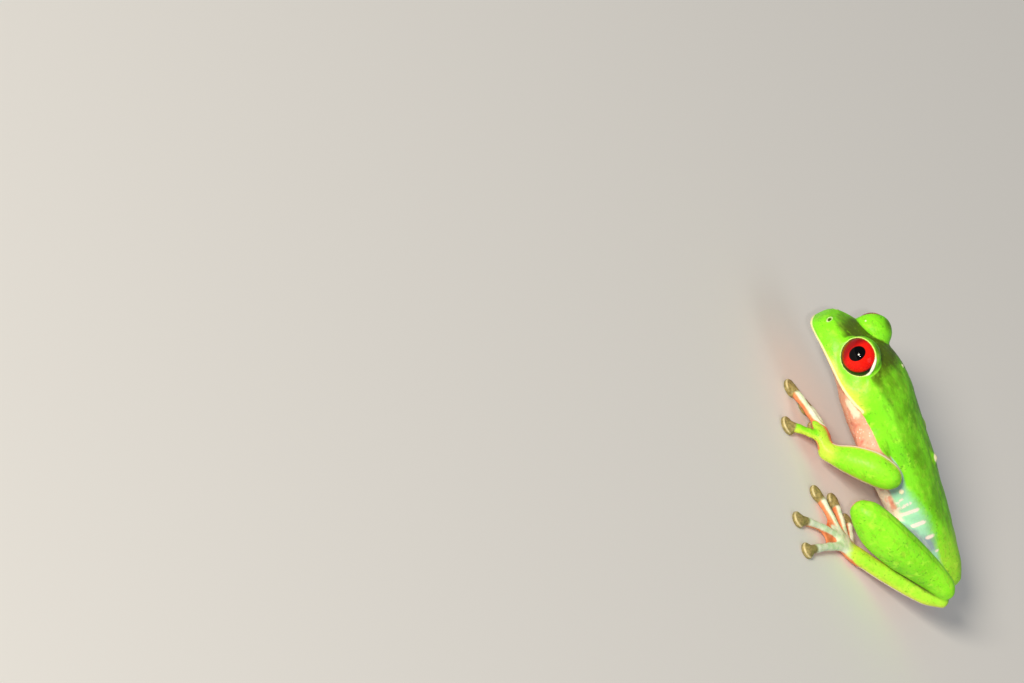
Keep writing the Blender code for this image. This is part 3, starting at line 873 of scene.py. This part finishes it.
def zone(value, soft=1.0):
    """A zone that begins where the value passes 0. A larger `soft` gives it a softer edge."""
    return np.clip(value / soft, OUTSIDE, INSIDE)


def band(value, low, high, soft):
    """A zone between two values."""
    return zone(np.minimum(value - low, high - value), soft)


def only(share, values):
    """A zone kept where the share is 1, and put well outside where it's 0."""
    return share * values + OUTSIDE * (1 - share)


class Coat:
    """Colour zones, worked out part by part and mixed where the parts meet."""

    def __init__(self, points, normals):
        self.points = points
        self.lift = normals[:, 2]
        self.total = np.zeros(len(points))
        self.folding, self.folds, self.folds_squared = (self.total.copy() for _ in range(3))
        self.joints = []
        self.zones = {name: np.zeros(len(points)) for name in ZONES}

    def add(self, distance, where=None, folds=False, **zones):
        """Lays down one part's zones. Zones that aren't named are well outside. Parts with folds get painted
        shade where they lie against each other.
        """
        where = np.arange(len(self.points)) if where is None else where
        weight = np.exp(-np.clip(distance, -1, 4) / COLOUR_BLEND)
        if folds:
            self.folding[where] += weight
            near = np.exp(-np.clip(distance, 0, 4) / FOLD_SHADE_WIDTH)
            self.folds[where] += near
            self.folds_squared[where] += near**2
        self.total[where] += weight
        for name in ZONES:
            self.zones[name][where] += weight * zones.get(name, OUTSIDE)

    def near(self, limb):
        low, high = limb.centre.min(0) - limb.half.max() - 2, limb.centre.max(0) + limb.half.max() + 2
        return np.where(((self.points > low) & (self.points < high)).all(1))[0]

    def result(self):
        """All the zones. Painted shade darkens the fold where two parts lie against each other, but not round a
        joint.
        """
        made = {name: values / self.total for name, values in self.zones.items()}
        fold = self.folds**2 / np.maximum(self.folds_squared, 1e-6) - 1
        fold = fold * smooth_step(0.5, 0.95, self.folding / self.total)
        for joint, reach in self.joints:
            fold = fold * (1 - bell(np.linalg.norm(self.points - joint, axis=1), reach))
        made["crease"] = np.maximum(made["crease"], 2 * np.clip(fold, 0, 1) - 1)
        return made


def outer_turn(limb, across, up, side):
    """Degrees round a limb from its outer side, positive upward."""
    lateral = across * np.sign(limb.side[:, 0].mean()) * side
    return np.degrees(np.arctan2(up, lateral))


def add_body_zones(coat):
    points = coat.points
    place = across_and_level(points)
    x, y, z = place.T
    distance = body_distance(*points.T)
    lid, rear, socket, bar, spot = (np.full(len(points), OUTSIDE) for _ in range(5))
    dome = np.zeros(len(points))
    for side in (1, -1):
        away, past_edge, thick = lid_measures(points, side)
        distance = np.minimum(distance, away - LID_RADIUS)
        margin = zone(0.03 - lid_margin(away, past_edge, thick), 0.06)
        # lid skin right against the eyeball, darkened below as painted shade
        socket = np.maximum(socket, zone(EYE_RADIUS + 0.07 - away, 0.03))
        dome = np.maximum(dome, smooth_step(4.65, 4.3, away))
        lid = np.maximum(lid, margin)
        rear = np.maximum(rear, np.minimum(margin, (thick - 0.4) * 5))
    above = z - np.interp(y, *np.array(GREEN_EDGE).T)
    soft = 0.12 + 0.95 * smooth_step(34, 39, y) - 0.6 * smooth_step(47, 53, y)
    mouth = 1 - smooth_step(MOUTH_CORNER_Y - 0.4, MOUTH_CORNER_Y + 0.4, y)
    belly = z - np.interp(y, *np.array(BELLY_EDGE).T)
    for y0, z0, y1, z1, half in BARS:
        away = line_distance(place * (0, 1, 1), [(0, y0, z0), (0, y1, z1)])
        bar = np.maximum(bar, zone(half - away, 0.2))
    for away, radius in spots_near(points):
        spot = np.maximum(spot, zone(radius - away, 0.14))
    nostril = both_sides(place, nostril_shape)
    spot = np.maximum(spot, np.minimum(band(nostril, 1.05, 1.75, 0.25), 0.25))
    throat = both_sides(place, lambda p: line_distance(p, THROAT_PATCH))
    speckle = noise(points, 1.5, 7) + 0.5 * noise(points, 0.7, 8)
    speckled = smooth_step(31, 34, y) * smooth_step(46, 42, y) * smooth_step(10.2, 9.4, z)
    yellow = 1.9 * bell(above - 0.6, 0.9) * mouth * smooth_step(2, 9, y) - 1.0
    yellow += 1.1 * bell(np.hypot(y - 15.5, z - 13.6), 2.6) * (np.abs(x) > 6)
    yellow += 0.8 * smooth_step(45, 54, y)
    lower_flank = only(smooth_step(33, 36, y), zone(belly, 0.5))
    under_green = only(smooth_step(25, 27, y), band(above, -0.75, 0.1, 0.15))
    # olive, partly the skin's own colour and partly painted shade, on skin that faces upward: full on the
    # crown, patchy from the nape back
    limit = np.interp(y, *np.array(OLIVE_AND_SHADE_LIMIT).T)
    back = np.minimum(zone(coat.lift - limit, 0.1), np.interp(y, (10, 16, 26), (3, 0.05, -0.25)))
    coat.add(
        distance,
        folds=True,
        green=zone(above, soft),
        yellow=yellow,
        orange=only(mouth, band(above, -0.3, 0.02, 0.1)),
        mint=np.maximum(lower_flank, under_green),
        pale=np.maximum(zone(0.95 - throat, 0.5), only(speckled, 4 * (speckle + 0.15))),
        bar=np.where(np.abs(x) > 3, bar, OUTSIDE),
        lip=only(mouth, band(above, 0.02, 0.72, 0.12)),
        lid=lid,
        rear_lid=rear,
        spot=spot,
        # painted shade inside the nostril pits and on the lids' inner wall against the eyeball
        crease=np.maximum(band(nostril, -9, 1.05, 0.2), socket),
        grain=zone(-above, 0.8),
        back=back - 2.5 * dome,
    )


# Each limb's green runs between these angles round it, in degrees, and the last number is its yellow
LIMB_COLOURS = [
    ("upper_arm", 0, 0, -3.0),
    ("forearm", -42, 92, -0.7),
    ("thigh", 0, 0, -1.0),
    ("shank", -78, 116, -1.0),
    ("tarsus", -28, 120, 0.55),
]


def add_limb_zones(coat, limbs, word):
    side = 1 if word == "left" else -1
    for name, low, high, yellow in LIMB_COLOURS:
        limb = limbs[name, word]
        where = coat.near(limb)
        distance, share, across, up = limb.measure(coat.points[where])
        turn = outer_turn(limb, across, up, side)
        radius = np.interp(share, limb.share, limb.half.mean(1))
        inside = np.minimum(turn - low, high - turn) * math.pi / 180 * radius
        if name == "upper_arm":
            place = across_and_level(coat.points[where])
            inside = place[:, 2] - np.interp(place[:, 1], *np.array(GREEN_EDGE).T)
        edge = bell(inside - 0.2, 0.42) * (name in ("forearm", "tarsus"))
        brown = bell((turn - 76) * math.pi / 180 * radius, 0.35) * (name == "shank")
        brown = brown * smooth_step(0, 0.2, share) * smooth_step(1, 0.75, share)
        wrist = smooth_step(0.72, 0.95, share) if name == "forearm" else 0
        coat.add(
            distance,
            where,
            folds=name in ("forearm", "shank", "tarsus"),
            # the shank's brown line along its top, laid in the zone of painted fold shade
            crease=1.15 * brown - 1.35,
            green=zone(inside, 0.14),
            yellow=np.maximum(yellow + 2.2 * edge - 0.6, 1.2 * wrist - 0.6),
            orange=OUTSIDE if name == "upper_arm" else -0.4,
            mint=zone(3 * (up + 0.2)) if name == "thigh" else OUTSIDE,
            pale=band(inside, -0.75, 0.0, 0.14) if name in ("forearm", "tarsus") else OUTSIDE,
            grain=1.0 if name in ("upper_arm", "thigh") else -0.5,
            back=-1.2,
        )


def add_paw_zones(coat, paw, word, is_hand):
    side = 1 if word == "left" else -1
    where = coat.near(paw.base)
    distance, share, across, up = paw.base.measure(coat.points[where])
    outer = across * np.sign(paw.base.side[:, 0].mean()) * side
    top = up - 0.1
    if is_hand:
        green = np.minimum(top + 0.5, outer - 0.1) * 4
        coat.add(distance, where, green=green, yellow=0.6 * (1 - share), orange=1.5)
    else:
        green = np.minimum(top * 4, (0.42 - share) * 6)
        mint = np.minimum(top * 4, (outer + 0.5) * 3)
        coat.add(distance, where, green=green, yellow=0.5, orange=1.5, mint=mint)
    for number, digit in enumerate(paw.digits):
        where = coat.near(digit)
        distance, share, across, up = digit.measure(coat.points[where])
        last = number == len(paw.digits) - 1
        strip = (up - (0.1 if last else 0.4)) * 3.2 - 3 * smooth_step(0.95, 1.05, share)
        if is_hand and last:
            strip = np.minimum(up + 0.55, 0.9) * 3.2 - 4 * smooth_step(0.95, 1.05, share)
            zones = {"green": strip, "yellow": 1.4 - 2.2 * np.maximum(up, 0)}
        else:
            zones = {"mint": strip + (0.6 if number >= len(paw.digits) - 2 else 0)}
        coat.add(distance, where, orange=1.6, disc=zone(share - 0.82, 0.04), **zones)
    for bar in paw.webs:
        where = coat.near(bar)
        coat.add(bar.measure(coat.points[where])[0], where, orange=1.8)
    for tip, line in zip(paw.tips, paw.lines):
        away = np.hypot(*(coat.points[:, :2] - tip[:2]).T)
        where = np.where((away < paw.disc + 1) & (coat.points[:, 2] < 3))[0]
        distance = disc_distance(coat.points[where], tip, paw.disc)
        inside = paw.disc - away[where]
        heading = unit((tip - line([0.7])[0])[:2])
        forward = (coat.points[where, :2] - tip[:2]) @ heading / paw.disc
        on_top = np.minimum((coat.points[where, 2] - 0.7) / 0.1, (forward + 0.25) / 0.2)
        rim = zone(np.minimum(band(inside, 0.02, 0.24, 0.1), on_top))
        coat.add(distance, where, orange=1.5, disc=INSIDE, rim=rim)


def skin_relief(points, normals, grain_zone, body_share):
    """Heights of all the fine relief, in millimetres over the plain surface."""
    grain = np.clip(0.5 + 0.5 * grain_zone, 0, 1)
    height = body_share * (head_relief(points) + body_relief(points, normals))
    lumps = smooth_step(10, 20, points[:, 1])
    height += (0.02 + 0.03 * lumps) * noise(points, 2.6, 11) + 0.02 * noise(points, 1.1, 12)
    height += grain * GRAIN_HEIGHT * (pebbles(points, GRAIN_SIZE, 20) - 0.4)
    smooth_grain = pebbles(points, SMOOTH_SKIN_GRAIN_SIZE, 30) - 0.4
    height += (1 - grain) * SMOOTH_SKIN_GRAIN_HEIGHT * smooth_grain
    return height * smooth_step(0.02, 0.25, points[:, 2])


# ------------------------------------------------------------------ materials
def linear(hex_colour):
    """A screen colour such as #80FF20 as the light it stands for."""
    parts = [int(hex_colour[i : i + 2], 16) / 255 for i in (1, 3, 5)]
    return [c / 12.92 if c <= 0.04045 else ((c + 0.055) / 1.055) ** 2.4 for c in parts] + [1.0]


def add(tree, kind, inputs=None, **settings):
    """A shader node with its settings and its inputs, each a value or another node's socket."""
    node = tree.nodes.new(kind)
    for name, value in settings.items():
        setattr(node, name, value)
    for name, value in (inputs or {}).items():
        if isinstance(value, bpy.types.NodeSocket):
            tree.links.new(value, node.inputs[name])
        else:
            node.inputs[name].default_value = value
    return node


def new_material(name, **finish):
    """A Principled surface with its finish set on the shader's own sockets."""
    material = bpy.data.materials.new(name)
    material.use_nodes = True
    shader = material.node_tree.nodes["Principled BSDF"]
    for socket, value in finish.items():
        shader.inputs[socket.replace("_", " ")].default_value = value
    return material, material.node_tree, shader


def stacked(tree, shown, colour, layers):
    """A colour with others laid over it.

    Each layer is its colour, then what makes it show: a number, a zone's name, or a pattern with the
    values between which the layer comes in.
    """
    colour = linear(colour)
    for above, *causes in layers:
        amount = None
        for cause in causes:
            if not isinstance(cause, float):
                name, low, high = cause if isinstance(cause, tuple) else (cause, *ZONE_BAND)
                span = {"Value": shown[name], "From Min": low, "From Max": high}
                cause = add(tree, "ShaderNodeMapRange", span, interpolation_type="SMOOTHSTEP").outputs[0]
            if amount is not None:
                cause = add(tree, "ShaderNodeMath", {0: amount, 1: cause}, operation="MULTIPLY").outputs[0]
            amount = cause
        above = linear(above) if isinstance(above, str) else above
        colour = add(tree, "ShaderNodeMix", {0: amount, 6: colour, 7: above}, data_type="RGBA").outputs[2]
    return colour


# Patterns: kind, size of a lump in millimetres, how far it is drawn out in X, Y and Z, and its detail
SKIN_PATTERNS = {
    "grains": ("ShaderNodeTexVoronoi", 0.62, (1, 1, 1), {}),
    "pores": ("ShaderNodeTexVoronoi", 0.45, (1, 1, 1), {}),
    "specks": ("ShaderNodeTexNoise", 0.6, (1, 1, 1), {"Detail": 2.0}),
    "fine": ("ShaderNodeTexNoise", 0.5, (1, 1, 1), {"Detail": 3.0}),
    "small": ("ShaderNodeTexNoise", 0.7, (1, 1, 1), {"Detail": 3.0}),
    "middle": ("ShaderNodeTexNoise", 1.5, (1, 1, 1), {"Detail": 5.0}),
    "streaks": ("ShaderNodeTexNoise", 1.1, (0.8, 2.1, 0.8), {"Detail": 4.0}),
    "patches": ("ShaderNodeTexNoise", 2.4, (0.8, 1.5, 0.8), {"Detail": 3.0}),
    "broad": ("ShaderNodeTexNoise", 6.0, (1, 1, 1), {"Detail": 3.0}),
}
# Zones, with the pattern that breaks up each one's edge and by how much
ZONE_EDGES = {
    "green": ("small", 0.35),
    "yellow": ("small", 0.5),
    "orange": ("small", 0.5),
    "mint": ("small", 0.5),
    "pale": ("small", 0.9),
    "bar": ("small", 0.5),
    "back": ("patches", 1.1),
    "lip": ("small", 0.3),
    "lid": ("small", 0.0),
    "rear_lid": ("small", 0.0),
    "spot": ("fine", 0.3),
    "disc": ("fine", 0.3),
    "rim": ("small", 0.4),
    "crease": ("small", 0.25),
}


def skin_material():
    """Tree frog skin: thin, moist and finely grained, so the green glows and its gloss stays soft."""
    material, tree, shader = new_material(
        "moist_frog_skin",
        Roughness=0.45,
        Specular_IOR_Level=0.18,
        Subsurface_Weight=0.1,
        Subsurface_Scale=0.0005,
        Subsurface_Radius=(1.0, 0.7, 0.35),
        Coat_Weight=0.06,
        Coat_Roughness=0.25,
    )
    place = add(tree, "ShaderNodeTexCoord").outputs["Object"]
    shown = {}
    for name, (kind, size, stretch, detail) in SKIN_PATTERNS.items():
        scale = [1 / (size * MM * length) for length in stretch]
        drawn = add(tree, "ShaderNodeMapping", {"Vector": place, "Scale": scale}).outputs[0]
        shown[name] = add(tree, kind, {"Vector": drawn, "Scale": 1.0, **detail}).outputs[0]
    for name, (pattern, ragged) in ZONE_EDGES.items():
        edge = add(tree, "ShaderNodeAttribute", attribute_name=name).outputs["Fac"]
        if ragged:
            shift = {0: shown[pattern], 1: 2 * ragged, 2: -ragged}
            shift = add(tree, "ShaderNodeMath", shift, operation="MULTIPLY_ADD").outputs[0]
            edge = add(tree, "ShaderNodeMath", {0: edge, 1: shift}).outputs[0]
        shown[name] = edge

    orange = stacked(tree, shown, "#EE9060", [("#DE6E40", ("middle", 0.45, 0.7))])
    toe_tops = stacked(tree, shown, "#F0F8DE", [("#CCE8BC", ("middle", 0.4, 0.7))])
    # the flank is blue-green above, greyer and purplish below
    flank = [("#92A8AE", ("broad", 0.42, 0.62)), (toe_tops, "orange")]
    flank = stacked(tree, shown, "#A8E8BC", flank)
    # leaf green with yellower patches and dark specks, and olive on the crown and down the spine, partly the
    # skin's own colour and partly painted shade where the skin faces upward
    green = [
        ("#74D818", ("broad", 0.4, 0.68)),
        ("#A4F236", ("middle", 0.5, 0.72)),
        ("#62B41A", ("streaks", 0.54, 0.74), 0.35),
        ("#4A5208", "back", 0.92),
        ("#7CC420", ("streaks", 0.5, 0.66), ("small", 0.4, 0.6), 0.55),
        ("#DCEC50", "yellow", 0.75),
        ("#44861A", ("specks", 0.6, 0.72), ("broad", 0.36, 0.56), 0.5),
    ]
    green = stacked(tree, shown, "#88EC22", green)
    disc = stacked(tree, shown, "#A8985E", [("#867A4A", ("fine", 0.35, 0.65))])
    skin = [
        ("#DA8672", ("middle", 0.5, 0.75)),
        ("#FBE4D6", ("grains", 0.34, 0.14), ("middle", 0.58, 0.4)),
        (orange, "orange"),
        ("#F8EAD0", "pale"),
        (flank, "mint"),
        (green, "green"),
        ("#FBE6DC", "bar"),
        ("#F6F0B4", "lip"),
        ("#DCEE80", "lid"),
        ("#FFF8E8", "rear_lid"),
        ("#FAF0C8", "spot"),
        (disc, "disc"),
        ("#DCCC98", "rim"),
        # painted shade in folds, in the nostrils and against the eyeballs, with the shank's brown line
        ("#38260F", "crease", 0.9),
    ]
    tree.links.new(stacked(tree, shown, "#F2AE92", skin), shader.inputs["Base Color"])
    pores = add(tree, "ShaderNodeBump", {"Height": shown["pores"], "Distance": 0.03 * MM, "Strength": 1.0})
    grain = {"Height": shown["fine"], "Distance": 0.035 * MM, "Strength": 1.0, "Normal": pores.outputs[0]}
    tree.links.new(add(tree, "ShaderNodeBump", grain).outputs[0], shader.inputs["Normal"])
    return material


def eye_material():
    """A wet eyeball: a clear glossy cornea over a red iris with darker fibres and an upright black pupil."""
    material, tree, shader = new_material(
        "wet_red_eye",
        Roughness=0.5,
        Specular_IOR_Level=0.0,
        Coat_Weight=0.6,
        Coat_Roughness=0.03,
        Coat_IOR=1.34,
    )
    way = add(tree, "ShaderNodeAttribute", attribute_name="iris_way").outputs["Vector"]
    fibres = add(tree, "ShaderNodeTexNoise", {"Vector": way, "Scale": 7.0, "Detail": 4.0}).outputs[0]
    shown = {"fibres": fibres}
    for name in ("from_pupil", "to_rim", "from_front"):
        shown[name] = add(tree, "ShaderNodeAttribute", attribute_name=name).outputs["Fac"]
    iris = [
        ("#F82410", ("fibres", 0.42, 0.66), ("from_pupil", 1.4, 0.5)),
        ("#B80E0C", ("fibres", 0.55, 0.35), ("from_pupil", 0.2, 1.2), 0.6),
        ("#840A10", ("from_front", -0.2, -2.1), 0.85),
        ("#6E0808", ("to_rim", 0.5, -0.1), 0.8),
        ("#140A14", ("to_rim", 0.05, -0.14)),
        ("#050406", ("from_pupil", 0.06, -0.06)),
    ]
    tree.links.new(stacked(tree, shown, "#E81A10", iris), shader.inputs["Base Color"])
    return material


# ------------------------------------------------------------------ eyes
def eye_mesh(side, shift):
    """An eyeball with a slight corneal bulge, its rings set round the gaze."""
    centre = eye_centre(side)
    gaze = rolled((side * GAZE[0], GAZE[1], GAZE[2]))
    across, up = eye_frame(gaze)
    rings, spokes = EYE_RINGS, EYE_SPOKES
    tilt = np.linspace(0, math.pi, rings + 1)
    turn = np.arange(spokes) * 2 * math.pi / spokes
    tilt, turn = np.meshgrid(tilt[1:-1], turn, indexing="ij")
    tilt, turn = tilt.ravel(), turn.ravel()
    tilt, turn = np.append(tilt, (0, math.pi)), np.append(turn, (0, 0))
    radius = EYE_RADIUS + CORNEA_BULGE * bell(tilt, CORNEA_SPREAD)
    flat = np.stack([np.cos(turn), np.sin(turn)], 1)
    way = np.outer(np.sin(tilt) * flat[:, 0], across) + np.outer(np.sin(tilt) * flat[:, 1], up)
    way += np.outer(np.cos(tilt), gaze)
    points = centre + way * radius[:, None] + shift
    faces = []
    for ring in range(rings - 2):
        for spoke in range(spokes):
            a, b = ring * spokes + spoke, ring * spokes + (spoke + 1) % spokes
            faces.append((a, a + spokes, b + spokes, b))
    tip, tail, last = len(points) - 2, len(points) - 1, (rings - 2) * spokes
    faces += [(tip, n, (n + 1) % spokes) for n in range(spokes)]
    faces += [(tail, last + (n + 1) % spokes, last + n) for n in range(spokes)]
    if side > 0:
        faces = [face[::-1] for face in faces]
    mesh = mesh_from("eye", points, np.array(faces, dtype=object))
    place_x, place_y = (EYE_RADIUS * np.sin(tilt) * column for column in flat.T)
    lean = math.radians(PUPIL_LEAN)
    wide = place_x * math.cos(lean) + place_y * math.sin(lean)
    tall = place_y * math.cos(lean) - place_x * math.sin(lean)
    oval = np.hypot(wide / PUPIL[0], tall / PUPIL[1])
    away = np.where(tilt > 1.5, 9.0, (oval - 1) * min(PUPIL))
    store(mesh, "from_pupil", away)
    store(mesh, "to_rim", (IRIS_TILT - np.degrees(tilt)) * math.pi / 180 * EYE_RADIUS)
    store(mesh, "from_front", place_x + 0.5 * place_y)
    way = np.column_stack([flat * 3.0, np.degrees(tilt) / 60])
    attribute = mesh.attributes.new("iris_way", "FLOAT_VECTOR", "POINT")
    attribute.data.foreach_set("vector", way.ravel())
    return mesh


# ------------------------------------------------------------------ put together
def show(name, mesh, material, nodes):
    """Puts a finished piece in the scene, in the place of the solids it stands for."""
    piece = bpy.data.objects.new(name, mesh)
    mesh.materials.append(material)
    bpy.context.scene.collection.objects.link(piece)
    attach(piece, "root")
    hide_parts(*nodes)


def build_frog():
    limbs = {}
    for name, stations in zip(LIMB_NAMES, (UPPER_ARM, FOREARM, THIGH, SHANK, TARSUS)):
        for word in ("left", "right"):
            limbs[name, word] = Limb(stations[word])
    paws = {}
    for word in ("left", "right"):
        paws["hand", word] = Paw(word, PALM, FINGERS, FINGER_RADIUS, FINGER_DISC, FINGER_WEB_REACH, HAND_MOVE)
        paws["foot", word] = Paw(word, SOLE, TOES, TOE_RADIUS, TOE_DISC, TOE_WEB_REACH, FOOT_MOVE)
    low, high = (np.array(corner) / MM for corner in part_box("eye_left"))
    shift = (low + high) / 2 - eye_centre(1)

    mesh = thinned(*surface_of(build_field(limbs, paws)), MOST_TRIANGLES)
    points = read(mesh.vertices, "co") / MM
    normals = unit(read(mesh.vertex_normals, "vector"))
    coat = Coat(points, normals)
    add_body_zones(coat)
    body_weight = coat.total.copy()
    for word in ("left", "right"):
        add_limb_zones(coat, limbs, word)
        add_paw_zones(coat, paws["hand", word], word, True)
        add_paw_zones(coat, paws["foot", word], word, False)
        for name, reach in OPEN_JOINTS:
            coat.joints.append((limbs[name, word].centre[-1], reach))
    zones = coat.result()
    height = skin_relief(points, normals, zones["grain"], body_weight / coat.total)
    points = points + normals * height[:, None]
    points[:, 2] = np.maximum(points[:, 2], 0)
    mesh.vertices.foreach_set("co", ((points + shift) * MM).ravel())
    mesh.polygons.foreach_set("use_smooth", [True] * len(mesh.polygons))
    mesh.update()
    for name in ZONE_EDGES:
        store(mesh, name, zones[name])
    flesh = [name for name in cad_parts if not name.startswith("eye_")]
    show("frog_skin", mesh, skin_material(), flesh)
    material = eye_material()
    for side, name in ((1, "eye_left"), (-1, "eye_right")):
        show(f"{name}ball", eye_mesh(side, shift), material, [name])
    return shift


# ------------------------------------------------------------------ studio
def turned(azimuth, elevation):
    """Direction from the frog to a place round it: 0 is in front, 90 to its left, in degrees."""
    a, e = math.radians(azimuth), math.radians(elevation)
    return Vector((math.sin(a) * math.cos(e), -math.cos(a) * math.cos(e), math.sin(e)))


def lamp(name, azimuth, elevation, distance, size, power, colour):
    light = bpy.data.lights.new(name, "AREA")
    light.shape = "DISK"
    light.size = size
    light.energy = power
    light.color = linear(colour)[:3]
    item = bpy.data.objects.new(name, light)
    item.location = turned(azimuth, elevation) * distance
    item.rotation_euler = turned(azimuth, elevation).to_track_quat("Z", "Y").to_euler()
    bpy.context.scene.collection.objects.link(item)


def build_studio():
    corners = np.array([(-1, -1, 0), (1, -1, 0), (1, 1, 0), (-1, 1, 0)]) * FLOOR_REACH
    mesh = mesh_from("floor", corners, np.array([(0, 1, 2, 3)]))
    floor = bpy.data.objects.new("studio_floor", mesh)
    bpy.context.scene.collection.objects.link(floor)
    mesh.materials.append(new_material("pale_matt_paper", Base_Color=linear("#F0EEEA"), Roughness=0.9)[0])
    world = bpy.data.worlds.new("soft_room")
    world.use_nodes = True
    backdrop = world.node_tree.nodes["Background"]
    backdrop.inputs["Color"].default_value = linear("#F2F5FA")
    backdrop.inputs["Strength"].default_value = ROOM_BRIGHTNESS
    bpy.context.scene.world = world
    for settings in LAMPS:
        lamp(*settings)
    bpy.context.scene.view_settings.view_transform = "Standard"


def build_camera(shift):
    camera = bpy.data.cameras.new("camera")
    camera.lens = LENS
    camera.sensor_width = SENSOR_WIDTH
    camera.clip_start, camera.clip_end = CAMERA_SEES
    item = bpy.data.objects.new("camera", camera)
    back = turned(CAMERA_AZIMUTH, CAMERA_ELEVATION)
    level_right = Vector((0, 0, 1)).cross(back).normalized()
    right = Matrix.Rotation(math.radians(CAMERA_ROLL), 3, back) @ level_right
    axes = Matrix((right, back.cross(right), back)).transposed().to_4x4()
    aim = (Vector(CAMERA_AIM) + Vector(shift)) * MM
    item.matrix_world = Matrix.Translation(aim + back * CAMERA_DISTANCE * MM) @ axes
    bpy.context.scene.collection.objects.link(item)
    bpy.context.scene.camera = item


place_shift = build_frog()
build_studio()
build_camera(place_shift)
